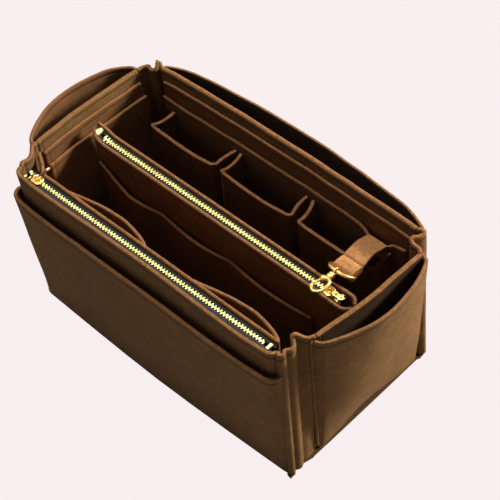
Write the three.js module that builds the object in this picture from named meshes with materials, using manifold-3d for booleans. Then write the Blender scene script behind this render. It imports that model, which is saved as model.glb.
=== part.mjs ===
// Purse organizer insert: a felt tub with pleated corners, pockets inside and out, two zips and a key strap.
// Millimetres, +Z up, +X to the right, the front faces -Y. The origin is the middle of the part's footprint.
import * as THREE from "three";
import { mergeVertices } from "three/addons/utils/BufferGeometryUtils.js";
import Module from "manifold-3d";

const wasm = await Module();
wasm.setup();

// Driving sizes of the felt tub.
const halfLength = 150;
const halfWidth = 85;
const wallHeight = 160;
const felt = 3;
const wallFelt = 4.5;
const seam = 0.4;
const cornerGap = 2;
const boardThickness = 2;
const foldRadius = 3.6;
const cellFoldRadius = 5;

// How far the lips, and the pouch's mouth, lie below the walls' rim.
const frontPocketDrop = 25;
const endPocketDrop = 3;
const backPocketDrop = 3;
const innerHighDrop = 11;
const innerLowDrop = 24;
const frontInnerDrop = 6;
const pouchDrop = 20;

// How far these lie below the pouch's mouth.
const backLowDrop = 9;
const hingeDrop = 13;
const cellDrop = 18;
const slipDrop = 36;

// How far each pocket's mouth stands open at its widest.
const frontMouth = 4;
const endMouth = 16;
const backMouth = 11;
const frontInnerMouth = 5.5;
const slipMouth = 2;
const footMouth = 0.6;

// Zips: one design, used in the front wall and in the middle pouch.
const zipHalfGap = 5.2;
const zipDepth = 3.4;
const zipInset = 0.5;
const zipEndInset = 11;
const sliderRest = 12;
const pouchLeftShift = 3;
const pouchFrontShift = 3;
const toothPitch = 3.2;
const toothWidth = 1.2;
const toothReach = 0.5;
const combInner = 1.8;
const combHalf = 2.4;
const combHeight = 2.2;
const splay = 1.3;
const tapeThickness = 0.8;
const tapeDrop = 7;
const tapeLean = 0.9;
const fit = 0.3;
const stopLength = 3;
const tapeOverhang = 3.5;

// Slider, its bail and the two pullers.
const sliderLength = 10.5;
const sliderHalfWidth = 4.8;
const sliderFootHalf = 3.6;
const sliderPlate = 0.9;
const postHalf = 0.5;
const postLength = 3.4;
const bailWire = 0.7;
const bailHalf = 2.7;
const bailRise = 2.7;
const bailFold = 1.05;
const pullerWire = 0.6;
const tabLength = 14;
const tabRadius = 1.2;
const tabCapLength = 4;
const plateLength = 13;
const plateHalfWidth = 2.9;
const plateThickness = 1.3;
const plateEye = 1.2;

// Key strap with its D-ring, swivel and snap hook.
const strapWidth = 20;
const strapDrift = 8;
const strapRoot = 15;
const strapTail = 14;
const strapTailDrop = 2.6;
const ringWire = 1.3;
const ringSlack = 1.9;
const ringDepth = 12.5;
const ringFold = 2.4;
const ringTilt = THREE.MathUtils.degToRad(40);
const ringY = 18.5;
const ringRise = 1.5;
const eyeWire = 1;
const swivelStem = 1.2;
const swivelHead = 1.9;
const swivelLength = 5.5;
const barrelRadius = 3;
const barrelFloor = 1.2;
const hookWire = 1.3;
const hookLength = 17;
const hookHalf = 5.4;
const gateRadius = 1;
const pinRadius = 0.45;
const barrelNeck = 2.4;
const earTop = 1.08;

// Smoothness of the shapes.
const wallSteps = 24;
const pleatRows = 8;
const wireSides = 8;
const latheSides = 12;
const eyeSteps = 14;
const loopSteps = 8;
const bandSteps = 14;
const bowSteps = 14;
const hookSteps = 18;
const weldReach = 0.0001;

const feltBrown = 0x5d3c25;
const feltRim = 0x7a5232;
const boardGrey = 0x4a4038;
const tapeBlack = 0x272c2a;
const brass = 0xc9b877;
const gold = 0xd8a64a;
const leather = 0x3a2418;

// Heights of the lips and of the hardware, from the floor.
const frontPocketLip = wallHeight - frontPocketDrop;
const endPocketLip = wallHeight - endPocketDrop;
const backPocketLip = wallHeight - backPocketDrop;
const innerLipHigh = wallHeight - innerHighDrop;
const innerLipLow = wallHeight - innerLowDrop;
const frontInnerLip = wallHeight - frontInnerDrop;
const pouchHeight = wallHeight - pouchDrop;
const backLipLow = pouchHeight - backLowDrop;
const strapHinge = pouchHeight - hingeDrop;
const cellHeight = pouchHeight - cellDrop;
const slipLip = pouchHeight - slipDrop;
const ringZ = pouchHeight + ringRise;

// Places of the zips' rows and of the strap.
const zipY = zipInset - halfWidth;
const stopRow = halfLength - zipEndInset;
const sliderRow = stopRow - sliderRest;
const strapShare = 0.76;
const strapX = halfLength * strapShare;
const ringHalf = strapWidth / 2 + ringSlack;

// Geometry helpers.

// Skins closed rings of points, with a ladder of faces over each end.
function skin(rings, loop = false) {
  const count = rings[0].length;
  const faces = [];
  const at = (i, j) => (i % rings.length) * count + (j % count);
  const runs = loop ? rings.length : rings.length - 1;
  for (let i = 0; i < runs; i++) {
    for (let j = 0; j < count; j++) {
      faces.push(at(i, j), at(i + 1, j), at(i + 1, j + 1));
      faces.push(at(i, j), at(i + 1, j + 1), at(i, j + 1));
    }
  }
  if (!loop) {
    const last = rings.length - 1;
    for (let j = 0; j < count / 2 - 1; j++) {
      const near = [j, j + 1, count - 2 - j, count - 1 - j];
      faces.push(at(0, near[0]), at(0, near[1]), at(0, near[2]));
      faces.push(at(0, near[0]), at(0, near[2]), at(0, near[3]));
      faces.push(at(last, near[0]), at(last, near[2]), at(last, near[1]));
      faces.push(at(last, near[0]), at(last, near[3]), at(last, near[2]));
    }
  }
  const points = rings.flat();
  let volume = 0;
  for (let k = 0; k < faces.length; k += 3) {
    const [a, b, c] = [points[faces[k]], points[faces[k + 1]], points[faces[k + 2]]];
    volume += a.dot(new THREE.Vector3().crossVectors(b, c));
  }
  if (volume < 0) faces.reverse();
  const geometry = new THREE.BufferGeometry().setFromPoints(points);
  geometry.setIndex(faces);
  return geometry;
}

// A round wire along points in a plane with the given normal.
function wire(points, radius, normal, loop = false, sides = wireSides) {
  const rings = points.map((point, i) => {
    const before = loop ? points[(i + points.length - 1) % points.length] : points[Math.max(i - 1, 0)];
    const after = loop ? points[(i + 1) % points.length] : points[Math.min(i + 1, points.length - 1)];
    const along = new THREE.Vector3().subVectors(after, before).normalize();
    const across = new THREE.Vector3().crossVectors(along, normal);
    return Array.from({ length: sides }, (_, k) => {
      const turn = ((k + 0.5) / sides) * 2 * Math.PI;
      return point
        .clone()
        .addScaledVector(across, radius * Math.cos(turn))
        .addScaledVector(normal, radius * Math.sin(turn));
    });
  });
  return skin(rings, loop);
}

const plan = (x, y) => new THREE.Vector2(x, y);
const spots = (shares) => shares.map(([x, y]) => plan(x * halfLength, y * halfWidth));

// Points along a smooth curve through the given plan points, as many between each two of them.
function smooth(points, steps) {
  const raised = points.map((p) => new THREE.Vector3(p.x, p.y, 0));
  const curve = new THREE.CatmullRomCurve3(raised, false, "centripetal");
  return curve.getPoints(steps).map((p) => plan(p.x, p.y));
}

// A polyline whose corners are rounded off, with the same count of points for the same count of corners.
const cornerShares = { shortest: 0.4, longest: 0.49, steps: [0, 0.3, 0.5, 0.7, 1] };
function folded(points, radius) {
  const made = [points[0]];
  for (let i = 1; i < points.length - 1; i++) {
    const [before, here, after] = [points[i - 1], points[i], points[i + 1]];
    const inward = before.clone().sub(here);
    const outward = after.clone().sub(here);
    const opening = Math.acos(inward.dot(outward) / (inward.length() * outward.length()));
    const wanted = Math.max(radius / Math.tan(opening / 2), radius * cornerShares.shortest);
    const cut = Math.min(wanted, Math.min(inward.length(), outward.length()) * cornerShares.longest);
    const start = here.clone().addScaledVector(inward.normalize(), cut);
    const end = here.clone().addScaledVector(outward.normalize(), cut);
    for (const share of cornerShares.steps) {
      const first = start.clone().lerp(here, share);
      made.push(first.lerp(here.clone().lerp(end, share), share));
    }
  }
  made.push(points[points.length - 1]);
  return made;
}

// The part of a run of points between two shares of it, with the run's own points in between.
const nearShare = 0.2;
function slice(points, [fromShare, toShare]) {
  const last = points.length - 1;
  const [from, to] = [fromShare * last, toShare * last];
  const inner = points.map((_, i) => i).filter((i) => i > from + nearShare && i < to - nearShare);
  return [from, ...inner, to].map((place) => {
    const index = Math.min(Math.floor(place), last - 1);
    return points[index].clone().lerp(points[index + 1], place - index);
  });
}

// Normals of a run of plan points, to the left of its direction, lengthened in a bend as a mitre is.
const mitreShare = 0.6;
function normals(points) {
  const turned = (a, b) => plan(a.y - b.y, b.x - a.x).normalize();
  return points.map((point, i) => {
    const before = i > 0 ? turned(points[i - 1], point) : turned(point, points[i + 1]);
    const after = i < points.length - 1 ? turned(point, points[i + 1]) : before;
    const middle = before.clone().add(after).normalize();
    return middle.divideScalar(Math.max(middle.dot(after), mitreShare));
  });
}

// Moves a run of plan points sideways, by one distance or by a distance for each point.
function beside(points, distance) {
  const across = normals(points);
  return points.map((point, i) => {
    const reach = typeof distance === "number" ? distance : distance(i / (points.length - 1));
    return point.clone().addScaledVector(across[i], reach);
  });
}

// The plan of a leaning wall at one height.
const level = (wall, z) => wall.foot.map((point, i) => point.clone().lerp(wall.rim[i], z / wallHeight));

// The point past the end of a run, by a distance along it.
function past(points, distance, atStart = false) {
  const end = atStart ? points[0] : points[points.length - 1];
  const inner = atStart ? points[1] : points[points.length - 2];
  return end.clone().addScaledVector(end.clone().sub(inner).normalize(), distance);
}

// A sheet of felt that stands on the plan run "low" at zLow and ends on the run "high" at zHigh.
function sheet(low, high, zLow, zHigh, thickness, rise = () => 0) {
  const lowNormals = normals(low);
  const highNormals = normals(high);
  const rings = low.map((_, i) => {
    const top = zHigh + rise(i / (low.length - 1));
    const corner = (point, normal, side, z) => {
      const p = point.clone().addScaledVector(normal, (side * thickness) / 2);
      return new THREE.Vector3(p.x, p.y, z);
    };
    return [
      corner(low[i], lowNormals[i], 1, zLow),
      corner(high[i], highNormals[i], 1, top),
      corner(high[i], highNormals[i], -1, top),
      corner(low[i], lowNormals[i], -1, zLow),
    ];
  });
  return skin(rings);
}

// A sheet of felt through several plan runs, one above the other, each with as many points.
function draped(runs, heights, thickness) {
  const across = runs.map(normals);
  const face = (i, side) =>
    runs.map((run, row) => {
      const p = run[i].clone().addScaledVector(across[row][i], (side * thickness) / 2);
      return new THREE.Vector3(p.x, p.y, heights[row]);
    });
  return skin(runs[0].map((_, i) => [...face(i, 1), ...face(i, -1).reverse()]));
}

// A flat piece with the given plan outline.
function slab(outline, zLow, thickness) {
  const shape = new THREE.Shape(outline);
  return new THREE.ExtrudeGeometry(shape, { depth: thickness, bevelEnabled: false }).translate(0, 0, zLow);
}

// Turns a closed geometry into a solid for cutting and joining.
function solid(geometry) {
  const bare = geometry.clone();
  for (const name of Object.keys(bare.attributes)) {
    if (name !== "position") bare.deleteAttribute(name);
  }
  const merged = mergeVertices(bare, weldReach);
  return new wasm.Manifold(
    new wasm.Mesh({
      numProp: 3,
      vertProperties: new Float32Array(merged.attributes.position.array),
      triVerts: new Uint32Array(merged.index.array),
    }),
  );
}

// Joins closed geometries into one, then cuts others out of it.
function joined(parts, cuts = []) {
  let made = parts.map(solid).reduce((a, b) => a.add(b));
  for (const cut of cuts) made = made.subtract(solid(cut));
  const mesh = made.getMesh();
  const points = [];
  for (let i = 0; i < mesh.numVert; i++) {
    const from = i * mesh.numProp;
    points.push(new THREE.Vector3(...mesh.vertProperties.subarray(from, from + 3)));
  }
  const geometry = new THREE.BufferGeometry().setFromPoints(points);
  geometry.setIndex(Array.from(mesh.triVerts));
  return geometry;
}

function block(xLow, xHigh, yLow, yHigh, zLow, zHigh) {
  const geometry = new THREE.BoxGeometry(xHigh - xLow, yHigh - yLow, zHigh - zLow);
  return geometry.translate((xLow + xHigh) / 2, (yLow + yHigh) / 2, (zLow + zHigh) / 2);
}

const group = new THREE.Group();

function add(name, geometry, color, metalness = 0, parent = group) {
  const material = new THREE.MeshStandardMaterial({ color, metalness, roughness: metalness ? 0.3 : 0.95 });
  const mesh = new THREE.Mesh(geometry, material);
  mesh.name = name;
  parent.add(mesh);
  return mesh;
}

// Walls of the tub: each is a plan run at the floor and one at the rim.

const frontWallY = zipY - zipHalfGap - felt / 2;
const liningY = zipY + zipHalfGap + felt / 2;

// Plan of the walls, as shares of the tub's half length and half width. Each run goes round it the same way.
const frontEndShares = { rim: 0.99, straight: 0.96 };
const frontFootShares = [
  [-0.975, -0.95],
  [-0.95, -0.955],
  [-0.925, -0.957],
  [0, -1],
  [0.93, -0.962],
  [0.96, -0.96],
  [0.985, -0.955],
];
const rightRimShares = [[1.083, -0.65], [1.093, -0.3], [1.097, 0.04], [1.085, 0.45], [1.067, 0.75]];
const rightFootShares = [[0.985, -0.7], [0.982, -0.3], [0.978, 0.08], [0.973, 0.5], [0.968, 0.84]];
const leftRimShares = [[-1.063, 0.73], [-1.08, 0.45], [-1.087, 0.02], [-1.083, -0.35], [-1.067, -0.7]];
const leftFootShares = [[-0.973, 0.86], [-0.98, 0.5], [-0.983, 0], [-0.98, -0.45], [-0.973, -0.8]];
const backRimShares = [
  [0.97, 0.9],
  [0.8, 0.93],
  [0.4, 0.94],
  [0, 0.945],
  [-0.4, 0.94],
  [-0.8, 0.925],
  [-0.97, 0.89],
];
const backFootShares = [
  [0.95, 0.94],
  [0.79, 0.945],
  [0.4, 0.945],
  [0, 0.945],
  [-0.4, 0.945],
  [-0.79, 0.945],
  [-0.95, 0.94],
];

const frontStraight = halfLength * frontEndShares.straight;
const frontRim = halfLength * frontEndShares.rim;
const frontWall = {
  rim: smooth(
    [
      plan(-frontRim, frontWallY + zipHalfGap),
      plan(-frontStraight - zipHalfGap / 2, frontWallY + zipHalfGap / 4),
      plan(-frontStraight, frontWallY),
      plan(0, frontWallY),
      plan(frontStraight, frontWallY),
      plan(frontStraight + zipHalfGap / 2, frontWallY + zipHalfGap / 4),
      plan(frontRim, frontWallY + zipHalfGap),
    ],
    wallSteps,
  ),
  foot: smooth(spots(frontFootShares), wallSteps),
};
const outline = (rimShares, footShares) => ({
  rim: smooth(spots(rimShares), wallSteps),
  foot: smooth(spots(footShares), wallSteps),
});
const rightWall = outline(rightRimShares, rightFootShares);
const leftWall = outline(leftRimShares, leftFootShares);
const backWall = outline(backRimShares, backFootShares);

// Heights of what lies on the floor. The left normals of the wall runs point into the tub.
const floorTop = felt + seam;
const boardTop = floorTop + boardThickness;
const linerTop = boardTop + seam + felt;
const cellFloor = linerTop + seam;

function wallSheet(wall, thickness) {
  return sheet(level(wall, floorTop), wall.rim, floorTop, wallHeight, thickness);
}

add("front_wall", wallSheet(frontWall, felt), feltBrown);
add("right_end_wall", wallSheet(rightWall, wallFelt), feltBrown);
add("back_wall", wallSheet(backWall, wallFelt), feltBrown);
add("left_end_wall", wallSheet(leftWall, wallFelt), feltBrown);

// Where each pocket begins and ends, as shares of its wall's run, and how its mouth swells along it.
const pocketShares = {
  front: [0, 1],
  end: [0.02, 0.98],
  back: [0.01, 0.99],
  endInner: [0.09, 0.91],
  backInner: [0.04, 0.96],
  liningLeft: [0.14, 0.44],
  liningRight: [0.64, 0.97],
  slip: [0.04, 0.95],
};
const swellPower = 0.8;

// A pocket on a wall. Its side is 1 inside the tub and -1 outside; layer counts the pockets under it.
function pocket(name, wall, wallThickness, shares, options) {
  const { side, layer = 0, zLow = cellFloor, lip, mouth = 0, rise } = options;
  const stack = wallThickness / 2 + seam + felt / 2 + layer * (felt + seam);
  const open = (amount) => (share) => side * (stack + amount * Math.sin(Math.PI * share) ** swellPower);
  const low = beside(slice(level(wall, zLow), shares), open(Math.min(mouth, footMouth)));
  const high = beside(slice(level(wall, lip), shares), open(mouth));
  return add(name, sheet(low, high, zLow, lip, felt, rise), feltRim);
}

const outerPocket = (name, wall, thickness, shares, lip, mouth) =>
  pocket(name, wall, thickness, shares, { side: -1, zLow: floorTop, lip, mouth });
outerPocket("front_outer_pocket", frontWall, felt, pocketShares.front, frontPocketLip, frontMouth);
outerPocket("right_outer_pocket", rightWall, wallFelt, pocketShares.end, endPocketLip, endMouth);
outerPocket("left_outer_pocket", leftWall, wallFelt, pocketShares.end, endPocketLip, endMouth);
outerPocket("back_outer_pocket", backWall, wallFelt, pocketShares.back, backPocketLip, backMouth);

function innerPair(prefix, wall, shares, lowLip) {
  pocket(prefix + "_inner_pocket_high", wall, wallFelt, shares, { side: 1, lip: innerLipHigh });
  pocket(prefix + "_inner_pocket_low", wall, wallFelt, shares, { side: 1, layer: 1, lip: lowLip });
}
innerPair("right", rightWall, pocketShares.endInner, innerLipLow);
innerPair("left", leftWall, pocketShares.endInner, innerLipLow);
innerPair("back", backWall, pocketShares.backInner, backLipLow);

// Corner pleats: each joins two walls, and its folds are shares of the tub's half sizes.
const pleatShares = {
  front_right: { rim: [[0.957, -0.806], [1.017, -0.794]], foot: [[1.023, -0.93], [1.02, -0.776]] },
  back_right: { rim: [[1.077, 0.873], [1.0, 0.871]], foot: [[0.975, 0.894], [0.973, 0.921]] },
  back_left: { rim: [[-1.037, 0.876], [-1.023, 0.794]], foot: [[-0.973, 0.925], [-0.977, 0.904]] },
  front_left: { rim: [[-1.05, -0.8], [-1.0, -0.88]], foot: [[-0.99, -0.88], [-0.998, -0.93]] },
};
function pleat(corner, first, second) {
  const [foot, rim] = [spots(pleatShares[corner].foot), spots(pleatShares[corner].rim)];
  const heights = Array.from({ length: pleatRows + 1 }, (_, row) =>
    THREE.MathUtils.lerp(floorTop, wallHeight, row / pleatRows),
  );
  const runs = heights.map((z, row) => {
    const folds = foot.map((point, i) => point.clone().lerp(rim[i], row / pleatRows));
    const ends = [past(level(first, z), cornerGap), past(level(second, z), cornerGap, true)];
    return folded([ends[0], ...folds, ends[1]], foldRadius);
  });
  add(corner + "_pleat", draped(runs, heights, felt), feltBrown);
}
pleat("front_right", frontWall, rightWall);
pleat("back_right", rightWall, backWall);
pleat("back_left", backWall, leftWall);
pleat("front_left", leftWall, frontWall);

// Floor: a felt panel under the walls, and a stiffening board with its felt liner between them.
const boardShares = [0.04, 0.96];
const floorRun = (distance, shares) =>
  [
    [frontWall, felt],
    [rightWall, wallFelt],
    [backWall, wallFelt],
    [leftWall, wallFelt],
  ].flatMap(([wall, thickness]) =>
    slice(beside(wall.foot, distance + (Math.sign(distance) * thickness) / 2), shares),
  );

add("base_panel", slab(floorRun(-(felt + 2 * seam), [0, 1]), 0, felt), feltBrown);
add("base_board", slab(floorRun(2 * cornerGap, boardShares), floorTop, boardThickness), boardGrey);
add("base_liner", slab(floorRun(2 * cornerGap, boardShares), boardTop + seam, felt), feltBrown);

// Inner wall of the front compartment, with two gathered pockets on it.
const liningShares = { left: -0.86, right: 0.955, foot: [[-0.88, -0.9], [0.93, -0.9]] };
const liningEnds = [liningShares.left, liningShares.right].map((share) => plan(halfLength * share, liningY));
const lining = { rim: smooth(liningEnds, wallSteps), foot: smooth(spots(liningShares.foot), wallSteps) };
const liningSheet = sheet(level(lining, cellFloor), lining.rim, cellFloor, wallHeight, felt);
add("front_wall_lining", liningSheet, feltBrown);
const gathered = { side: 1, lip: frontInnerLip, mouth: frontInnerMouth };
pocket("front_inner_pocket_left", lining, felt, pocketShares.liningLeft, gathered);
pocket("front_inner_pocket_right", lining, felt, pocketShares.liningRight, gathered);

// The gusset that closes the front compartment on the left, from the end wall to the lining.
const gussetRun = (z) => {
  const wallEnd = level(leftWall, z).slice(-2);
  return [beside(wallEnd, wallFelt / 2 + seam + felt / 2)[1], past(level(lining, z), cornerGap, true)];
};
const gusset = sheet(gussetRun(cellFloor), gussetRun(frontInnerLip), cellFloor, frontInnerLip, felt);
add("front_left_gusset", gusset, feltBrown);

// Three open cells sewn to the low pocket of the back wall.
const cellShares = [
  { back: [-0.853, -0.36], front: [-0.867, -0.353] },
  { back: [-0.313, 0.2], front: [-0.307, 0.253] },
  { back: [0.24, 0.847], front: [0.293, 0.887] },
];
const cellFrontShare = 0.53;
const cellFrontY = halfWidth * cellFrontShare;
// The free face of the back wall's low pocket at one place along it, less a clearance.
function backFace(x, clearance) {
  const heights = [cellFloor, backLipLow].map((z) => {
    const run = beside(level(backWall, z), wallFelt / 2 + 2 * (seam + felt));
    const next = run.findIndex((point) => point.x < x);
    const share = (run[next - 1].x - x) / (run[next - 1].x - run[next].x);
    return THREE.MathUtils.lerp(run[next - 1].y, run[next].y, share);
  });
  return Math.min(...heights) - clearance;
}
cellShares.forEach(({ back, front }, i) => {
  const corners = [
    plan(back[0] * halfLength, backFace(back[0] * halfLength - felt, 2 * seam)),
    plan(front[0] * halfLength, cellFrontY),
    plan(front[1] * halfLength, cellFrontY),
    plan(back[1] * halfLength, backFace(back[1] * halfLength + felt, 2 * seam)),
  ];
  const run = folded(corners, cellFoldRadius);
  add("cell_pocket_" + (i + 1), sheet(run, run, cellFloor, cellHeight, felt), feltRim);
});

// Middle pouch: two panels that stand on the liner between the end walls' pockets.
const pocketStack = wallFelt / 2 + 2 * (seam + felt) + seam;
const pouchShares = { footGap: 0.5, footY: 0.01, flare: 0.8, wide: 0.9 };
function pouchRun(side, z) {
  const rise = z / pouchHeight;
  const left = level(leftWall, z)[wallSteps / 2].x + pocketStack + cornerGap;
  const right = level(rightWall, z)[wallSteps / 2].x - pocketStack - cornerGap;
  const gap = zipHalfGap * (pouchShares.footGap + (1 - pouchShares.footGap) * rise) + felt / 2;
  const middle = (1 - rise) * halfWidth * pouchShares.footY - pouchFrontShift;
  const wide = middle + side * (gap + rise * felt);
  const closed = middle + side * (felt / 2 + seam);
  const corners = [
    plan(left, middle + side * gap),
    plan(right * pouchShares.flare, middle + side * gap),
    plan(right * pouchShares.wide, wide),
    plan(right - felt, wide),
    plan(right, closed),
  ];
  return folded(corners, 2 * cellFoldRadius);
}
const pouch = (side) => ({ foot: pouchRun(side, 0), rim: pouchRun(side, wallHeight) });
const pouchFront = pouch(-1);
const pouchBack = pouch(1);
for (const [name, panel] of [["pouch_front_panel", pouchFront], ["pouch_back_panel", pouchBack]]) {
  const panelSheet = sheet(level(panel, cellFloor), level(panel, pouchHeight), cellFloor, pouchHeight, felt);
  add(name, panelSheet, feltBrown);
}
const slipShares = { ear: 0.15, slope: 0.9091 };
const slipRise = (share) => slipLip * slipShares.slope * Math.max(slipShares.ear - share, 0);
const slipWall = {
  foot: smooth(pouchFront.foot.slice(0, 2), wallSteps),
  rim: smooth(pouchFront.rim.slice(0, 2), wallSteps),
};
const slipPocket = { side: -1, lip: slipLip, mouth: slipMouth, rise: slipRise };
pocket("pouch_slip_pocket", slipWall, felt, pocketShares.slip, slipPocket);

// Zip: runs along X, closed towards +X, with its slider near the open end. It is built round its own middle.
const sliderTail = -sliderRow - sliderLength / 2;
const sliderNose = -sliderRow + sliderLength / 2;
const combSplay = (x) => splay * (1 - THREE.MathUtils.smoothstep(x, sliderTail, sliderNose));

// One row of teeth on its bead, as a comb whose teeth reach past the middle.
const toothShares = { taper: 0.125 };
function comb(side, phase) {
  const start = -stopRow + stopLength / 2 + fit;
  const end = stopRow - stopLength / 2 - fit;
  const count = Math.floor((end - start - phase - toothWidth) / toothPitch);
  const shape = [];
  const put = (x, y) => shape.push(plan(x, side * (y + combSplay(x))));
  put(start, combHalf);
  put(start, combInner);
  for (let i = 0; i <= count; i++) {
    const x = start + phase + i * toothPitch + fit;
    put(x, combInner);
    put(x + toothWidth * toothShares.taper, -toothReach);
    put(x + toothWidth * (1 - toothShares.taper), -toothReach);
    put(x + toothWidth, combInner);
  }
  put(end, combInner);
  put(end, combHalf);
  put(sliderNose, combHalf);
  put(-sliderRow, combHalf);
  put(sliderTail, combHalf);
  return slab(side > 0 ? shape : shape.reverse(), -combHeight / 2, combHeight);
}

// One side of the tape: flat from the teeth to the felt, then down along the felt.
const tapeShares = { hem: 1.1 };
function tape(side) {
  const places = [-stopRow - tapeOverhang, sliderTail, -sliderRow, sliderNose, stopRow + tapeOverhang];
  const outer = zipHalfGap - fit;
  return skin(
    places.map((x) => {
      const inner = combHalf + fit + combSplay(x);
      const section = [
        [inner, tapeThickness / 2],
        [outer, tapeThickness / 2],
        [outer - tapeLean, -tapeDrop],
        [outer - tapeLean - tapeThickness, -tapeDrop],
        [outer - tapeThickness, -tapeThickness / 2],
        [Math.min(inner, outer - tapeThickness * tapeShares.hem), -tapeThickness / 2],
      ];
      return section.map(([y, z]) => new THREE.Vector3(x, side * y, z));
    }),
  );
}

const plateTop = combHeight / 2 + fit + sliderPlate;
const bailTop = plateTop + bailRise;

// Slider: two plates round the teeth, a post that parts the rows, side lips over the tape and a bail on top.
const sliderShares = { tail: 0.7, tailWidth: 0.8, nose: 0.5, noseWidth: 0.7, wedge: 0.6 };
function slider() {
  const half = sliderLength / 2;
  const low = combHeight / 2 + fit;
  const tapeSide = combHalf + splay + fit;
  const mirrored = (run) => [...run, ...run.map((p) => plan(p.x, -p.y)).reverse()];
  const shield = mirrored([plan(-half, -sliderFootHalf), plan(half, -sliderFootHalf)]);
  const wideShield = mirrored([
    plan(-half, -sliderHalfWidth * sliderShares.tailWidth),
    plan(-half * sliderShares.tail, -sliderHalfWidth),
    plan(half * sliderShares.nose, -sliderHalfWidth),
    plan(half, -sliderHalfWidth * sliderShares.noseWidth),
  ]);
  const lip = (side) => {
    const [near, far] = [side * tapeSide, side * sliderHalfWidth].sort((a, b) => a - b);
    const [tail, nose] = [-half * sliderShares.tail, half * sliderShares.nose];
    return block(tail, nose, near, far, tapeThickness / 2 + fit, low + sliderPlate / 2);
  };
  const wedge = -half + postLength * sliderShares.wedge;
  const post = slab(
    [
      plan(-half, -postHalf),
      plan(wedge, -postHalf),
      plan(-half + postLength, 0),
      plan(wedge, postHalf),
      plan(-half, postHalf),
    ],
    -low - sliderPlate / 2,
    2 * low + sliderPlate,
  );
  const bailLeg = [plan(-bailHalf, low), plan(-bailHalf, bailTop)];
  const bail = [...bailLeg, plan(bailHalf, bailTop), plan(bailHalf, low)];
  const arch = folded(bail, bailFold).map((p) => new THREE.Vector3(p.x, 0, p.y));
  return joined([
    slab(wideShield, low, sliderPlate),
    slab(shield, -low - sliderPlate, sliderPlate),
    lip(-1),
    lip(1),
    post,
    wire(arch, bailWire, new THREE.Vector3(0, 1, 0)),
  ]);
}

function circle(radius, steps, place) {
  return Array.from({ length: steps }, (_, i) => {
    const turn = (i / steps) * 2 * Math.PI;
    return place(radius * Math.cos(turn), radius * Math.sin(turn));
  });
}

const sideways = new THREE.Vector3(1, 0, 0);
const upright = (a, b) => new THREE.Vector3(0, a, b);

// A round pull tab on a ring through the bail, lying towards +Y.
const tabShares = { groove: 0.8, tip: 0.6 };
function tabPuller() {
  const hole = bailWire + fit + pullerWire;
  const eye = wire(circle(hole, latheSides, upright), pullerWire, sideways, true);
  const neck = hole + pullerWire / 2;
  const profile = [
    [0, neck - pullerWire / 2],
    [pullerWire, neck - pullerWire / 2],
    [pullerWire, neck + pullerWire],
    [tabRadius, neck + 2 * pullerWire],
    [tabRadius, tabLength - tabCapLength],
    [tabRadius * tabShares.groove, tabLength - tabCapLength + pullerWire],
    [tabRadius, tabLength - tabCapLength + 2 * pullerWire],
    [tabRadius, tabLength - pullerWire],
    [tabRadius * tabShares.tip, tabLength],
    [0, tabLength],
  ].map(([x, y]) => plan(x, y));
  return joined([eye, new THREE.LatheGeometry(profile, wireSides)]);
}

// A flat shaped pull plate with a window round the bail's near leg, lying towards -X.
const plateShares = {
  eye: 0.4,
  neck: [0.15, 0.75],
  blade: [[0.35, 1], [0.6, 0.75], [0.85, 0.85], [1, 0.3]],
};
function platePuller() {
  const window = bailHalf + bailWire + fit;
  const rail = bailWire + fit + plateThickness;
  const edge = [
    plan(plateThickness / 2, rail),
    plan(-window, rail),
    plan(-window - plateLength * plateShares.neck[0], rail * plateShares.neck[1]),
    ...plateShares.blade.map(([x, y]) => plan(-window - plateLength * x, plateHalfWidth * y)),
  ];
  const otherEdge = edge.map((p) => plan(p.x, -p.y)).reverse();
  const plate = slab([...edge, ...otherEdge], -plateThickness / 2, plateThickness);
  const side = rail - plateThickness;
  const hole = block(-window, -plateThickness / 2, -side, side, -plateThickness, plateThickness);
  const eyeX = -window - plateLength * plateShares.eye;
  const rim = circle(plateEye, latheSides, (a, b) => plan(a + eyeX, b));
  const eye = slab(rim, -plateThickness, 2 * plateThickness);
  return joined([plate], [hole, eye]);
}

const stop = (x, near, far) =>
  block(x - stopLength / 2, x + stopLength / 2, near, far, -combHeight / 2, combHeight / 2);

function zip(prefix, place, turned) {
  const frame = new THREE.Group();
  frame.position.copy(place);
  frame.rotation.z = turned ? Math.PI : 0;
  group.add(frame);
  for (const [name, side] of [["front", turned ? 1 : -1], ["rear", turned ? -1 : 1]]) {
    add(prefix + "_zip_" + name + "_tape", tape(side), tapeBlack, 0, frame);
    add(prefix + "_zip_" + name + "_teeth", comb(side, side > 0 ? 0 : toothPitch / 2), brass, 1, frame);
    const [near, far] = [splay + fit, splay + combHalf].map((y) => side * y).sort((a, b) => a - b);
    add(prefix + "_zip_" + name + "_top_stop", stop(-stopRow, near, far), brass, 1, frame);
  }
  add(prefix + "_zip_bottom_stop", stop(stopRow, -combHalf, combHalf), brass, 1, frame);
  add(prefix + "_zip_slider", slider().translate(-sliderRow, 0, 0), gold, 1, frame);
  const pull = turned
    ? platePuller().translate(-sliderRow, 0, plateTop + fit + plateThickness / 2)
    : tabPuller().translate(-sliderRow, 0, bailTop);
  add(prefix + "_zip_puller", pull, turned ? gold : leather, turned ? 1 : 0, frame);
}

zip("front", new THREE.Vector3(0, zipY, wallHeight - zipDepth), false);
zip("middle", new THREE.Vector3(-pouchLeftShift, -pouchFrontShift, pouchHeight - zipDepth), true);

// Key strap: sewn to the back wall, it lies over the cells and ends in a loop round the D-ring's bar.
const strapY = backFace(strapX + strapWidth / 2, seam) - felt / 2;
const strapShares = [
  [0, 0],
  [0.11, 0.28],
  [0.26, 0.5],
  [0.37, 0.68],
  [0.52, 0.78],
  [0.68, 0.84],
  [0.82, 0.92],
  [0.93, 1],
];
const loopRadius = ringWire + fit + felt / 2;
const loopTop = ringZ + loopRadius;

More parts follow.
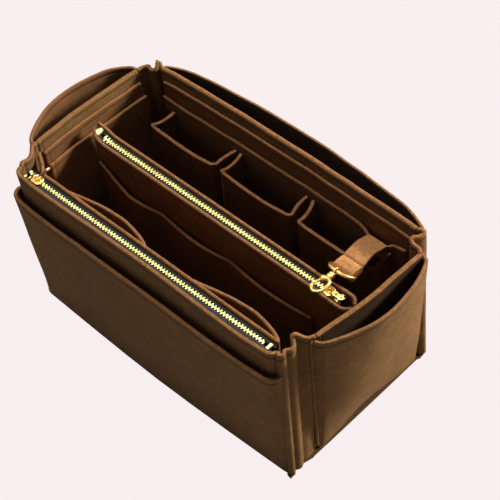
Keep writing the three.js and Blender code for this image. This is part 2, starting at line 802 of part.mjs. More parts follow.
// Skews a piece made across the strap, so that it follows the strap's drift to the right.
function drifted(geometry) {
  const places = geometry.attributes.position;
  for (let i = 0; i < places.count; i++) {
    const share = (strapY - places.getY(i)) / (strapY - ringY - 2 * loopRadius);
    places.setX(i, places.getX(i) + strapDrift * THREE.MathUtils.clamp(share, 0, 1));
  }
  return geometry;
}

// A band of felt across X that follows a run of (y, z) points.
function band(run) {
  const edge = (side) => beside(run, (side * felt) / 2);
  const [over, under] = [edge(1), edge(-1)];
  const at = (x, p) => new THREE.Vector3(x, p.x, p.y);
  const [left, right] = [strapX - strapWidth / 2, strapX + strapWidth / 2];
  const ring = (i) => [at(left, over[i]), at(right, over[i]), at(right, under[i]), at(left, under[i])];
  return drifted(skin(run.map((_, i) => ring(i))));
}

const strapRise = loopTop - strapHinge;
const strapReach = strapY - ringY;
const strapRun = strapShares.map(([y, z]) => plan(strapY - y * strapReach, strapHinge + z * strapRise));
const loopRun = Array.from({ length: loopSteps + 1 }, (_, i) => {
  const turn = Math.PI / 2 + (i / loopSteps) * Math.PI;
  return plan(ringY + loopRadius * Math.cos(turn), ringZ + loopRadius * Math.sin(turn));
});
const tailRun = [plan(ringY + strapTail, loopTop - strapTailDrop - felt - seam)];
add("key_strap", band([...smooth(strapRun, bandSteps), ...loopRun, ...tailRun]), feltRim);
const rootRun = [plan(strapY, strapHinge - strapRoot), plan(strapY, strapHinge - felt / 2 - fit)];
add("strap_anchor", band(rootRun), feltRim);

// D-ring in its own plane, which tips up from the bar: x across, y from the bar to the crest.
const hardwareX = strapX + strapDrift;
const upwards = new THREE.Vector3(0, 0, 1);
const bowShares = { foot: 0.25, bow: 0.75 };
const bow = Array.from({ length: bowSteps + 1 }, (_, i) => {
  const turn = (i / bowSteps) * Math.PI;
  return plan(ringHalf * Math.cos(turn), ringDepth * (bowShares.foot + bowShares.bow * Math.sin(turn)));
});
const ringCorner = folded([plan(0, 0), plan(ringHalf, 0), bow[1]], ringFold).slice(0, -1);
const farCorner = ringCorner.slice(1).map((p) => plan(-p.x, p.y)).reverse();
const ringRun = [...ringCorner, ...bow.slice(1, -1), ...farCorner];
const ringLine = ringRun.map((p) => new THREE.Vector3(p.x, -p.y, 0));
const ringGeometry = wire(ringLine, ringWire, upwards, true);
ringGeometry.rotateX(-ringTilt).translate(hardwareX, ringY, ringZ);
add("d_ring", ringGeometry, gold, 1);

// Swivel and hook lie along -Y from the D-ring's crest.
const crestY = ringY - ringDepth * Math.cos(ringTilt);
const crestZ = ringZ + ringDepth * Math.sin(ringTilt);
const hardware = new THREE.Group();
hardware.position.set(hardwareX, crestY, crestZ);
hardware.rotation.x = Math.PI;
group.add(hardware);

const eyeHole = ringWire + fit + eyeWire;
const barrelTop = eyeHole + eyeWire + 2 * fit;
const headTop = barrelTop + barrelFloor + 2 * fit;
const headBottom = headTop + swivelLength - 2 * barrelFloor - 4 * fit;
const hookTop = barrelTop + swivelLength;

// A turned piece from (radius, place along the hook) points.
const turnedPiece = (profile) => new THREE.LatheGeometry(profile.map(([x, y]) => plan(x, y)), latheSides);
const swivelPin = turnedPiece([
  [0, eyeHole],
  [swivelStem, eyeHole],
  [swivelStem, headTop],
  [swivelHead, headTop],
  [swivelHead, headBottom],
  [0, headBottom],
]);
const swivelEye = wire(circle(eyeHole, eyeSteps, upright), eyeWire, sideways, true);
add("swivel_eye", joined([swivelEye, swivelPin]), gold, 1, hardware);

const barrel = turnedPiece([
  [0, headBottom + fit],
  [swivelHead + fit, headBottom + fit],
  [swivelHead + fit, headTop - fit],
  [swivelStem + fit, headTop - fit],
  [swivelStem + fit, barrelTop],
  [barrelRadius, barrelTop],
  [barrelRadius, hookTop - fit],
  [barrelNeck, hookTop + fit],
  [0, hookTop + fit],
]);

// The hook's line, and its gate's pivot, as shares of the hook's half width and length.
const hookShares = [[0, 0], [0.72, 0.12], [1, 0.42], [0.82, 0.8], [0, 1], [-0.8, 0.87], [-1, 0.66]];
const pivotShares = [-0.62, 0.17];
const gateShares = { start: 0.12, end: 0.96, eye: 0.6, rod: 0.8 };
const hookPoint = ([x, y]) => plan(x * hookHalf, hookTop + y * hookLength);
const hookRun = smooth(hookShares.map(hookPoint), hookSteps);
const pivot = hookPoint(pivotShares);
const earHalf = hookWire + fit;
const slotHalf = gateRadius + fit / 2;
const eyeRadius = pinRadius + fit + gateRadius * gateShares.eye;
const [earLeft, earRight] = [pivot.x - eyeRadius, pivot.x + 2 * eyeRadius];
const ears = block(earLeft, earRight, hookTop - fit, pivot.y + earTop, -earHalf, earHalf);
const slotLow = plan(pivot.x - 2 * eyeRadius, pivot.y - eyeRadius - fit);
const slotHigh = plan(pivot.x + eyeRadius + fit, pivot.y + 2 * eyeRadius);
const slot = block(slotLow.x, slotHigh.x, slotLow.y, slotHigh.y, -slotHalf, slotHalf);

// A round bar across the hook at the gate's pivot.
function crossBar(radius, length, sides) {
  const bar = new THREE.CylinderGeometry(radius, radius, length, sides);
  return bar.rotateX(Math.PI / 2).translate(pivot.x, pivot.y, 0);
}
const hookWireShape = wire(hookRun.map((p) => new THREE.Vector3(p.x, p.y, 0)), hookWire, upwards);
const forked = joined([barrel, hookWireShape, ears], [slot]);
const pin = crossBar(pinRadius, 2 * slotHalf + earHalf, wireSides);
add("snap_hook", joined([forked, pin]), gold, 1, hardware);

const nose = hookRun[hookRun.length - 1];
const gateEnd = plan(nose.x, nose.y - fit);
const gateRun = [gateShares.start, gateShares.end].map((share) => {
  const p = pivot.clone().lerp(gateEnd, share);
  return new THREE.Vector3(p.x, p.y, 0);
});
const gateRod = wire(gateRun, gateRadius * gateShares.rod, upwards);
const gateEye = crossBar(eyeRadius, 2 * (slotHalf - fit), latheSides);
const gateHole = crossBar(pinRadius + fit, 4 * slotHalf, latheSides);
add("hook_gate", joined([gateEye, gateRod], [gateHole]), gold, 1, hardware);

// The origin is the middle of the footprint, on the floor.
const reach = new THREE.Box3().setFromObject(group, true);
group.position.set(-(reach.min.x + reach.max.x) / 2, -(reach.min.y + reach.max.y) / 2, -reach.min.z);

export default group;
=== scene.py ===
import math

import bmesh
import bpy
from mathutils import Matrix, Vector, noise


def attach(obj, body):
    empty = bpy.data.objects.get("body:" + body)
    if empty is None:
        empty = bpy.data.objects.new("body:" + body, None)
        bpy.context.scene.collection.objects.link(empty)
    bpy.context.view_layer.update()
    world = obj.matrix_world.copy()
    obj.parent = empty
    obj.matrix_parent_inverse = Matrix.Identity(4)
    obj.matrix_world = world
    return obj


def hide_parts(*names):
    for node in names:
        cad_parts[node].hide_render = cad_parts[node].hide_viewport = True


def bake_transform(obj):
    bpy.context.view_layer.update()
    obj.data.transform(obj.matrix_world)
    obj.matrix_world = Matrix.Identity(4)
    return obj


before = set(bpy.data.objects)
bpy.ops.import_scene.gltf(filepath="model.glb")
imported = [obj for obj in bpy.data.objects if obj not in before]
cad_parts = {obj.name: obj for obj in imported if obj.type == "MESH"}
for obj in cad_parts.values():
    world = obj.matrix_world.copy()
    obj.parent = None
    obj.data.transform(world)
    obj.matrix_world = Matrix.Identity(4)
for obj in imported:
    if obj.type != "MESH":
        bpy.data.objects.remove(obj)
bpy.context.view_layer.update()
print("frame loaded:", len(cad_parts), "nodes")

mm = 0.001  # every size below is in millimetres and goes into the meshes through this

# the tub: what its walls, floor and pockets share
tub = {
    "halfLength": 150,
    "halfWidth": 85,
    "height": 160,
    "felt": 3,
    "wallFelt": 4.5,
    "seam": 0.4,
    "floorTop": 3.4,
    "cellFloor": 9.2,
    "shift": (-0.728, 1.3345),  # from the tub's own middle to the middle of the footprint
}

camera = {
    "target": (7.596, 22.743, 79.678),
    "azimuth": 48.716,
    "elevation": 48.31,
    "roll": -5.988,
    "distance": 1550.98,
    "lens": 131.45,
}


def addObject(name, data):
    made = bpy.data.objects.new(name, data)
    bpy.context.scene.collection.objects.link(made)
    return made


def aimed(origin, target, roll=0):
    # a matrix at origin that looks at target, turned about its own axis
    back = (Vector(origin) - Vector(target)).normalized()
    right = Vector((0, 0, 1)).cross(back).normalized()
    up = back.cross(right)
    turned = Matrix.Rotation(roll, 4, back)
    looking = Matrix((right, up, back)).transposed().to_4x4()
    return Matrix.Translation(origin) @ turned @ looking


def placeCamera(spec):
    azimuth, elevation = math.radians(spec["azimuth"]), math.radians(spec["elevation"])
    back = Vector(
        (
            math.sin(azimuth) * math.cos(elevation),
            -math.cos(azimuth) * math.cos(elevation),
            math.sin(elevation),
        )
    )
    target = Vector(spec["target"]) * mm
    made = addObject("camera", bpy.data.cameras.new("camera"))
    made.data.sensor_width = 36
    made.data.lens = spec["lens"]
    made.data.clip_start, made.data.clip_end = 0.05, 20
    made.matrix_world = aimed(target + back * spec["distance"] * mm, target, math.radians(spec["roll"]))
    bpy.context.scene.camera = made


def softLight(name, origin, size, power, color):
    lamp = bpy.data.lights.new(name, "AREA")
    lamp.shape = "DISK"
    lamp.size = size
    lamp.energy = power
    lamp.color = color
    addObject(name, lamp).matrix_world = aimed(origin, (0, 0, 0.08))


lights = {
    "key": {"origin": (0.84, 1.68, 0.84), "size": 0.42, "power": 70, "color": (1.0, 0.94, 0.84)},
    "top": {"origin": (-0.35, 0.25, 1.8), "size": 0.6, "power": 24, "color": (1.0, 0.97, 0.92)},
    "front": {"origin": (-0.3, -1.9, 0.8), "size": 1.2, "power": 1.3, "color": (1.0, 0.98, 0.94)},
}
placeCamera(camera)
for name, spec in lights.items():
    softLight(name, **spec)
bpy.context.scene.view_settings.view_transform = "Standard"


class Wire:
    # a shader socket; sums and products of wires add their Math nodes
    def __init__(self, shader, socket):
        self.shader, self.socket = shader, socket

    def math(self, operation, *values):
        inputs = {i: value for i, value in enumerate((self, *values))}
        return self.shader.node("ShaderNodeMath", {"operation": operation}, inputs)

    def __add__(self, other):
        return self.math("ADD", other)

    def __sub__(self, other):
        return self.math("SUBTRACT", other)

    def __rsub__(self, other):
        return self.shader.node("ShaderNodeMath", {"operation": "SUBTRACT"}, {0: other, 1: self})

    def __mul__(self, other):
        return self.math("MULTIPLY", other)

    __radd__ = __add__
    __rmul__ = __mul__


class Shader:
    def __init__(self, name, **fixed):
        self.material = bpy.data.materials.new(name)
        self.material.use_nodes = True
        self.tree = self.material.node_tree
        self.surface = self.tree.nodes["Principled BSDF"]
        for key, value in fixed.items():
            self.surface.inputs[key.replace("_", " ")].default_value = value

    def node(self, kind, settings=None, inputs=None, output=0):
        made = self.tree.nodes.new(kind)
        for key, value in (settings or {}).items():
            if key == "stops":
                self.fillRamp(made.color_ramp, value)
            else:
                setattr(made, key, value)
        for key, value in (inputs or {}).items():
            self.feed(made.inputs[key], value)
        return Wire(self, made.outputs[output])

    def feed(self, socket, value):
        if isinstance(value, Wire):
            self.tree.links.new(value.socket, socket)
        else:
            socket.default_value = value

    def fillRamp(self, ramp, stops):
        while len(ramp.elements) < len(stops):
            ramp.elements.new(1)
        for element, (place, color) in zip(ramp.elements, stops):
            element.position = place
            element.color = color

    def place(self):
        return self.node("ShaderNodeTexCoord", output=3)

    def speckle(self, scale, detail=3, roughness=0.5, vector=None, distortion=0):
        inputs = {
            "Vector": vector or self.place(),
            "Scale": scale,
            "Detail": detail,
            "Roughness": roughness,
            "Distortion": distortion,
        }
        return self.node("ShaderNodeTexNoise", {}, inputs)

    def stretched(self, scale, turn=(0, 0, 0)):
        inputs = {"Vector": self.place(), "Scale": scale, "Rotation": turn}
        return self.node("ShaderNodeMapping", {}, inputs)

    def ramp(self, value, stops):
        return self.node("ShaderNodeValToRGB", {"stops": stops}, {"Fac": value})

    def between(self, value, low, high, start=0.0, end=1.0):
        inputs = {"Value": value, 1: low, 2: high, 3: start, 4: end}
        return self.node("ShaderNodeMapRange", {"interpolation_type": "SMOOTHSTEP"}, inputs)

    def mix(self, factor, first, second, blend="MIX"):
        settings = {"data_type": "RGBA", "blend_type": blend}
        return self.node("ShaderNodeMix", settings, {0: factor, 6: first, 7: second}, 2)

    def seam(self, layer, axis):
        split = self.node("ShaderNodeUVMap", {"uv_map": layer})
        return self.node("ShaderNodeSeparateXYZ", {}, {0: split}, axis)

    def bump(self, height, distance, strength=1.0):
        inputs = {"Height": height, "Distance": distance, "Strength": strength}
        return self.node("ShaderNodeBump", {}, inputs)

    def cloudy(self, color, cloud, rough, height, distance, strength):
        # how most materials end: the clouds vary the roughness, the height gives a relief
        normal = self.bump(height, distance, strength)
        return self.finish(Base_Color=color, Roughness=self.between(cloud, 0.3, 0.7, *rough), Normal=normal)

    def finish(self, **outputs):
        for key, value in outputs.items():
            self.feed(self.surface.inputs[key.replace("_", " ")], value)
        return self.material


def tone(red, green, blue):
    # a colour given as it looks on a screen
    def linear(c):
        c = c / 255
        return c / 12.92 if c <= 0.04045 else ((c + 0.055) / 1.055) ** 2.4

    return (linear(red), linear(green), linear(blue), 1)


def feltMaterial(name, dark, middle, light, paintedDepthShade=None):
    made = Shader(name, Sheen_Weight=0.12, Sheen_Roughness=0.4, Specular_IOR_Level=0.12)
    made.surface.inputs["Sheen Tint"].default_value = tone(214, 160, 112)
    fibres = made.speckle(1500, 4, 0.65, made.stretched((1, 1, 0.45), (0.3, 0.2, 0.4)), 1.2)
    strands = made.speckle(620, 3, 0.6, made.stretched((0.5, 1, 1), (0.1, 0.5, 0.9)), 2.0)
    cloud = made.speckle(46, 3, 0.55)
    wisps = made.speckle(150, 4, 0.6, made.stretched((0.4, 0.9, 1), (0.4, 0.3, 0.2)), 0.8)
    body = made.ramp(cloud * 0.55 + wisps * 0.45, [(0.3, dark), (0.5, middle), (0.72, light)])
    grain = made.between(fibres * 0.4 + strands * 0.6, 0.34, 0.66)
    color = made.mix(0.45, body, made.mix(grain, dark, light))
    height = fibres * 0.5 + strands * 0.5 + wisps * 0.6
    below = made.seam("cloth", 1)
    beside = made.seam("edges", 0)
    # partly wear, partly painted highlight: the felt is paler within 2.8 mm of every rim, where the fuzz is rubbed
    # and the top light falls
    lip = 1 - made.between(below, 0.0, 0.0028)
    if paintedDepthShade:
        # painted shade: the lower half of the inside is darker and greyer, for the shade deep in the tub
        tall = made.node("ShaderNodeSeparateXYZ", {}, {0: made.place()}, 2)
        color = made.mix(made.between(tall, 0.04, 0.135, 0.62, 0.0), color, paintedDepthShade)
    color = made.mix(lip * 0.32, color, light)
    # seam grooves 4.4 mm below the rim and 4.2 mm in from each end: the bump sinks them, and the colour is darkened
    # along them as painted shade in the grooves
    hem = made.between((below - 0.0044).math("ABSOLUTE"), 0.0002, 0.0018)
    side = made.between((beside - 0.0042).math("ABSOLUTE"), 0.0002, 0.0014)
    color = made.mix((1 - hem) * 0.5, color, dark)
    color = made.mix((1 - side) * 0.2, color, dark)
    height = height + hem * 2.4 + side * 0.8
    return made.cloudy(color, cloud, (0.86, 0.97), height, 0.00055, 0.85)


def cutMaterial(name, dark, light):
    # a paler felt with loose fibres, for the cut edges and the strap: the paleness is painted light, for the top
    # light falling on them
    made = Shader(name, Sheen_Weight=0.2, Sheen_Roughness=0.4, Specular_IOR_Level=0.1)
    made.surface.inputs["Sheen Tint"].default_value = tone(232, 176, 128)
    fibres = made.speckle(1900, 4, 0.7, made.stretched((1, 1, 1), (0.5, 0.1, 0.2)), 1.5)
    clumps = made.speckle(330, 3, 0.6)
    color = made.ramp(fibres * 0.5 + clumps * 0.5, [(0.36, dark), (0.66, light)])
    return made.cloudy(color, fibres, (0.85, 0.98), fibres + clumps, 0.0006, 0.9)


def threadMaterial():
    made = Shader("thread", Specular_IOR_Level=0.3)
    twist = made.speckle(2600, 2, 0.5, made.stretched((1, 1, 0.3), (0.6, 0.6, 0)))
    color = made.ramp(twist, [(0.35, tone(84, 56, 34)), (0.65, tone(134, 94, 58))])
    return made.finish(Base_Color=color, Roughness=0.6, Normal=made.bump(twist, 0.0002, 0.6))


def tapeMaterial():
    made = Shader("zip_tape", Specular_IOR_Level=0.3)
    axes = made.node("ShaderNodeSeparateXYZ", {}, {0: made.place()})
    length = Wire(made, axes.socket.node.outputs[0])
    width = Wire(made, axes.socket.node.outputs[1])
    pace = 5200  # radians to the metre, a thread every 1.2 mm
    ribs = (length * pace + width * pace).math("SINE") * 0.5 + 0.5
    cross = (length * pace - width * pace).math("SINE") * 0.5 + 0.5
    weave = ribs * 0.6 + cross * 0.4
    dust = made.speckle(240, 3)
    color = made.mix(weave, tone(20, 22, 22), made.mix(dust, tone(44, 50, 48), tone(60, 68, 66)))
    return made.cloudy(color, dust, (0.62, 0.8), weave, 0.00025, 0.8)


def metalMaterial(name, shade, bright, wear, roughness):
    made = Shader(name, Metallic=1.0)
    haze = made.speckle(420, 3, 0.6)
    scratches = made.speckle(1400, 3, 0.7, made.stretched((1, 0.12, 1), (0.2, 0.1, 0.6)), 0.6)
    color = made.mix(made.between(haze, 0.35, 0.7), shade, bright)
    color = made.mix(made.between(scratches, 0.56, 0.7) * 0.4, color, wear)
    dull = made.between(haze * 0.6 + scratches * 0.4, 0.3, 0.7, roughness * 0.7, roughness * 1.5)
    return made.finish(Base_Color=color, Roughness=dull, Normal=made.bump(scratches, 0.00004, 0.5))


def leatherMaterial():
    made = Shader("pull_leather", Specular_IOR_Level=0.4)
    inputs = {"Vector": made.place(), "Scale": 1500}
    pores = made.node("ShaderNodeTexVoronoi", {"feature": "DISTANCE_TO_EDGE"}, inputs)
    cloud = made.speckle(300, 3)
    color = made.mix(cloud, tone(34, 22, 16), tone(72, 46, 30))
    return made.cloudy(color, cloud, (0.42, 0.65), made.between(pores, 0, 0.12), 0.00012, 0.7)


def boardMaterial():
    made = Shader("grey_board", Specular_IOR_Level=0.2)
    pulp = made.speckle(900, 4, 0.7, made.stretched((0.4, 1, 1)))
    spots = made.speckle(120, 3)
    color = made.mix(pulp * 0.5 + spots * 0.5, tone(58, 50, 44), tone(104, 94, 82))
    return made.cloudy(color, spots, (0.8, 0.95), pulp, 0.0002, 0.6)


def floorMaterial():
    # pale to the camera and to shiny metal, with a part of the object's shadow kept
    made = Shader("pale_floor", Base_Color=tone(168, 160, 160), Roughness=0.9)
    glow = made.node("ShaderNodeEmission", {}, {"Color": tone(250, 240, 241), "Strength": 1.0})
    path = made.node("ShaderNodeLightPath")
    rays = path.socket.node.outputs
    seen = Wire(made, rays["Is Camera Ray"]).math("MAXIMUM", Wire(made, rays["Is Glossy Ray"]))
    seen = seen.math("MAXIMUM", Wire(made, rays["Is Transmission Ray"]))
    inputs = {0: seen * 0.98, 1: Wire(made, made.surface.outputs[0]), 2: glow}
    blend = made.node("ShaderNodeMixShader", {}, inputs)
    made.feed(made.tree.nodes["Material Output"].inputs["Surface"], blend)
    return made.material


materials = {
    "shell": feltMaterial("felt_shell", tone(80, 58, 34), tone(119, 88, 53), tone(154, 118, 72)),
    # the last tone is painted shade for the lower inside of the tub
    "inner": feltMaterial("felt_inner", tone(78, 54, 35), tone(112, 76, 47), tone(144, 100, 62), tone(58, 46, 38)),
    # painted shade: a near-black copy of the felt for the faces deep inside the outer pockets, where only shade falls
    "dark": feltMaterial("felt_painted_shade", tone(24, 18, 13), tone(34, 26, 19), tone(48, 37, 26)),
    # the base is the shell felt made darker: painted shade at the walls' feet and under the end pocket's lifted foot
    "sole": feltMaterial("felt_base_painted_shade", tone(58, 42, 26), tone(80, 59, 36), tone(106, 79, 49)),
    # the cut edges: paler felt as painted highlight on the rims
    "cut": cutMaterial("felt_cut_edge_painted_light", tone(112, 75, 46), tone(172, 120, 76)),
    # the strap is the shell felt made paler: painted light from the top lamp
    "strap": cutMaterial("felt_strap_painted_light", tone(150, 104, 63), tone(214, 154, 98)),
    "thread": threadMaterial(),
    "tape": tapeMaterial(),
    "teeth": metalMaterial("brass_teeth", tone(222, 216, 132), tone(248, 244, 176), tone(254, 252, 220), 0.3),
    "gold": metalMaterial("polished_gold", tone(226, 176, 84), tone(252, 220, 142), tone(255, 242, 200), 0.27),
    "leather": leatherMaterial(),
    "board": boardMaterial(),
    "floor": floorMaterial(),
}
# the strap's paler and the base's darker felt are the shell felt with painted light and shade, so they share its slot
slotOf = dict.fromkeys(("shell", "strap", "sole", "thread"), "felt_shell")
slotOf |= {"inner": "felt_inner", "tape": "zip_tape", "teeth": "zip_teeth"}
slotOf |= {"gold": "gold_metal", "leather": "pull_tab"}
print("materials made:", len(materials))


def studio():
    floor = bmesh.new()
    bmesh.ops.create_grid(floor, x_segments=4, y_segments=4, size=6)
    mesh = bpy.data.meshes.new("floor")
    floor.to_mesh(mesh)
    mesh.materials.append(materials["floor"])
    addObject("floor", mesh)
    world = bpy.data.worlds.new("studio")
    bpy.context.scene.world = world
    world.use_nodes = True
    tree = world.node_tree
    path = tree.nodes.new("ShaderNodeLightPath")
    either = path.outputs["Is Camera Ray"]
    for kind in ("Is Glossy Ray", "Is Transmission Ray"):
        larger = tree.nodes.new("ShaderNodeMath")
        larger.operation = "MAXIMUM"
        tree.links.new(either, larger.inputs[0])
        tree.links.new(path.outputs[kind], larger.inputs[1])
        either = larger.outputs[0]
    pale = tree.nodes.new("ShaderNodeMix")
    pale.data_type = "RGBA"
    pale.inputs[6].default_value = tone(50, 56, 68)
    pale.inputs[7].default_value = tone(250, 240, 241)
    tree.links.new(either, pale.inputs[0])
    tree.links.new(pale.outputs[2], tree.nodes["Background"].inputs["Color"])
    tree.nodes["Background"].inputs["Strength"].default_value = 1.0


studio()


def spots(shares):
    return [Vector((x * tub["halfLength"], y * tub["halfWidth"])) for x, y in shares]


def smoothRun(points, steps=24):
    # points along a smooth curve through the plan points, as many between each two of them
    given = [Vector(p) for p in points]
    given = [2 * given[0] - given[1], *given, 2 * given[-1] - given[-2]]
    run = []
    for i in range(steps + 1):
        place = i / steps * (len(points) - 1)
        k = min(int(place), len(points) - 2)
        a, b, c, d = given[k : k + 4]
        t0 = -math.sqrt((b - a).length)
        t2 = math.sqrt((c - b).length)
        t3 = t2 + math.sqrt((d - c).length)
        t = (place - k) * t2
        ab = a.lerp(b, (t - t0) / -t0)
        bc = b.lerp(c, t / t2)
        cd = c.lerp(d, (t - t2) / (t3 - t2))
        run.append(ab.lerp(bc, (t - t0) / (t2 - t0)).lerp(bc.lerp(cd, t / t3), t / t2))
    return run


def runNormals(run):
    # left normals of a run
    found = []
    for i in range(len(run)):
        along = run[min(i + 1, len(run) - 1)] - run[max(i - 1, 0)]
        found.append(Vector((-along.y, along.x)).normalized())
    return found


def onRun(run, share):
    # past an end the run goes straight on
    place = share * (len(run) - 1)
    k = max(0, min(int(place), len(run) - 2))
    return k, place - k


def alongRun(run, share):
    k, t = onRun(run, share)
    return run[k].lerp(run[k + 1], t)


def hump(x, middle, width):
    # one at the middle, next to nothing three widths away
    return math.exp(-(((x - middle) / width) ** 2))


def ripple(*place):
    return noise.noise(Vector(place))


def runLength(run):
    return sum((b - a).length for a, b in zip(run, run[1:]))


def makeWall(foot, rim, waves=0.0, seed=0):
    foot, rim = smoothRun(foot), smoothRun(rim)
    normals = {"footNormals": runNormals(foot), "rimNormals": runNormals(rim)}
    return {"foot": foot, "rim": rim, "waves": waves, "seed": seed, **normals}


# the waves of a wall: slow and quick ones, each with its pace along the wall and up it
swaying = {"slow": (0.018, 0.014), "quick": (0.05, 0.03), "quickShare": 0.35, "fadeIn": 3}


def wallPoint(wall, share, z, off=0.0):
    # a point on a wall, moved to the left of its run; every layer on the wall sways with it
    rise = z / tub["height"]
    k, t = onRun(wall["foot"], share)

    def between(foot, rim):
        return foot[k].lerp(foot[k + 1], t).lerp(rim[k].lerp(rim[k + 1], t), rise)

    point = between(wall["foot"], wall["rim"])
    normal = between(wall["footNormals"], wall["rimNormals"])
    (slow, slowUp), (quick, quickUp) = swaying["slow"], swaying["quick"]
    sway = ripple(point.x * slow, point.y * slow, z * slowUp + wall["seed"])
    flutter = ripple(point.x * quick, point.y * quick, z * quickUp + 9 + wall["seed"])
    away = off + wall["waves"] * (sway + swaying["quickShare"] * flutter) * min(1, rise * swaying["fadeIn"])
    point = point + normal.normalized() * away
    return Vector((point.x, point.y, z))


frontY = -91.2
frontFoot = [(-0.975, -0.95), (-0.95, -0.955), (-0.925, -0.957), (0, -1)]
frontFoot += [(0.93, -0.962), (0.96, -0.96), (0.985, -0.955)]
frontRim = [(-148.6, -84.4), (-147.2, -88.6), (-143.8, frontY), (0, frontY)]
frontRim += [(143.4, frontY), (147.4, -88.8), (149.0, -85.2)]
backFoot = [(0.95, 0.94), (0.79, 0.945), (0.4, 0.945), (0, 0.945)]
backFoot += [(-0.4, 0.945), (-0.79, 0.945), (-0.95, 0.94)]
backRim = [(0.978, 0.905), (0.8, 0.93), (0.4, 0.94), (0, 0.945)]
backRim += [(-0.4, 0.94), (-0.8, 0.925), (-0.97, 0.905)]
walls = {
    "front": makeWall(spots(frontFoot), frontRim, waves=0.5),
    "right": makeWall(
        spots([(0.985, -0.7), (0.982, -0.3), (0.978, 0.08), (0.973, 0.5), (0.968, 0.84)]),
        spots([(1.066, -0.675), (1.09, -0.3), (1.106, 0.04), (1.112, 0.42), (1.112, 0.715)]),
        waves=1.2,
        seed=3,
    ),
    "left": makeWall(
        spots([(-0.973, 0.86), (-0.98, 0.5), (-0.983, 0), (-0.98, -0.45), (-0.973, -0.8)]),
        spots([(-1.066, 0.72), (-1.08, 0.45), (-1.087, 0.02), (-1.083, -0.35), (-1.072, -0.69)]),
        waves=1.2,
        seed=7,
    ),
    "back": makeWall(spots(backFoot), spots(backRim), waves=1.0, seed=12),
    "lining": makeWall([(-132, -76.5), (139.5, -76.5)], [(-129, -77.8), (143.25, -77.8)], seed=1),
}


def moved(p):
    x, y = tub["shift"]
    return Vector((p.x + x, p.y + y, p.z)) * mm


def asPiece(bm, name, material, body="tub", stands=(), extra=()):
    mesh = bpy.data.meshes.new(name)
    bm.to_mesh(mesh)
    bm.free()
    mesh.shade_smooth()
    return addPiece(name, mesh, material, body, stands, extra)


def addPiece(name, data, material, body, stands, extra=()):
    # a piece from its mesh or curve
    for key in (material, *extra):
        data.materials.append(materials[key])
    made = addObject(name, data)
    if stands:
        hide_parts(*stands)
    if body:
        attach(made, body)
    return made


def bevelEdges(bm, edges, offset, steps=3):
    shape = {"affect": "EDGES", "segments": steps, "profile": 0.5, "material": -1}
    bmesh.ops.bevel(bm, geom=list(edges), offset=offset, **shape)


# the edges of a felt sheet; what lies nearer than join is joined, patches of fewer faces than scrap go
edging = {"angle": 62, "share": 0.34, "steps": 3, "join": 0.03, "scrap": 20}


def evaluatedMesh(made):
    seen = made.evaluated_get(bpy.context.evaluated_depsgraph_get())
    return bpy.data.meshes.new_from_object(seen)


def settle(made):
    # the sheet as a plain mesh, without the bits that its sharpest folds leave
    thickened = evaluatedMesh(made)
    bm = bmesh.new()
    bm.from_mesh(thickened)
    bmesh.ops.remove_doubles(bm, verts=bm.verts[:], dist=edging["join"] * mm)
    waiting, scraps = set(bm.faces), []
    while waiting:
        patch, edge = set(), [waiting.pop()]
        while edge:
            face = edge.pop()
            patch.add(face)
            for beside in {other for side in face.edges for other in side.link_faces} & waiting:
                waiting.discard(beside)
                edge.append(beside)
        if len(patch) < edging["scrap"]:
            scraps.extend(patch)
    bmesh.ops.delete(bm, geom=scraps, context="FACES")
    bm.to_mesh(thickened)
    bm.free()
    made.modifiers.clear()
    made.data = thickened


def gridShares(bm, across, up):
    # a flat grid, and the shares along it and up it at which each of its corners lies
    bmesh.ops.create_grid(bm, x_segments=across, y_segments=up, size=0.5)
    low = min(v.co.x for v in bm.verts)
    return {v: ((v.co.x - low) / (-2 * low), (v.co.y - low) / (-2 * low)) for v in bm.verts}


def feltSheet(
    name, at, size, thickness, material="inner", stands=(), body="tub", cell=3.2, turn=False, lined=None
):
    # a sheet of felt: at(u, v) is its middle surface, u along it and v up it
    bm = bmesh.new()
    cloth = bm.loops.layers.uv.new("cloth")
    edges = bm.loops.layers.uv.new("edges")
    shares = gridShares(bm, max(4, round(size[0] / cell)), max(4, round(size[1] / cell)))
    for face in bm.faces:
        for loop in face.loops:
            u, v = shares[loop.vert]
            loop[cloth].uv = (u * size[0] * mm, (1 - v) * size[1] * mm)
            loop[edges].uv = (min(u, 1 - u) * size[0] * mm, v * size[1] * mm)
    for vert, (u, v) in shares.items():
        vert.co = moved(at(u, v))
    if turn:
        bmesh.ops.reverse_faces(bm, faces=bm.faces[:])
    # the third slot paints shade on the sheet's far face: the near-black felt unless a panel names a darker felt for
    # it
    made = asPiece(bm, name, material, body, stands, extra=("cut", lined or "dark"))
    thick = made.modifiers.new("thickness", "SOLIDIFY")
    thick.thickness = thickness * mm
    thick.offset = 0
    thick.use_even_offset = True
    # the rim faces take the paler cut-edge felt: painted highlight
    thick.material_offset_rim = 1
    thick.material_offset = 2 if lined else 0
    soften = made.modifiers.new("soft edges", "BEVEL")
    soften.limit_method = "ANGLE"
    soften.angle_limit = math.radians(edging["angle"])
    soften.width = thickness * edging["share"] * mm
    soften.segments = edging["steps"]
    soften.profile = 0.5
    soften.material = -1
    settle(made)
    return made


sheets = {}


def addSheet(node, at, size, thickness=tub["felt"], material="inner", **more):
    # the sheet that stands for a node, kept for the seams on it
    feltSheet(node + "_felt", at, size, thickness, material, (node,), **more)
    sheets[node] = (at, size, thickness)


stitching = {"pitch": 3.6, "length": 2.7, "thread": 0.42}
stitchRows = {}


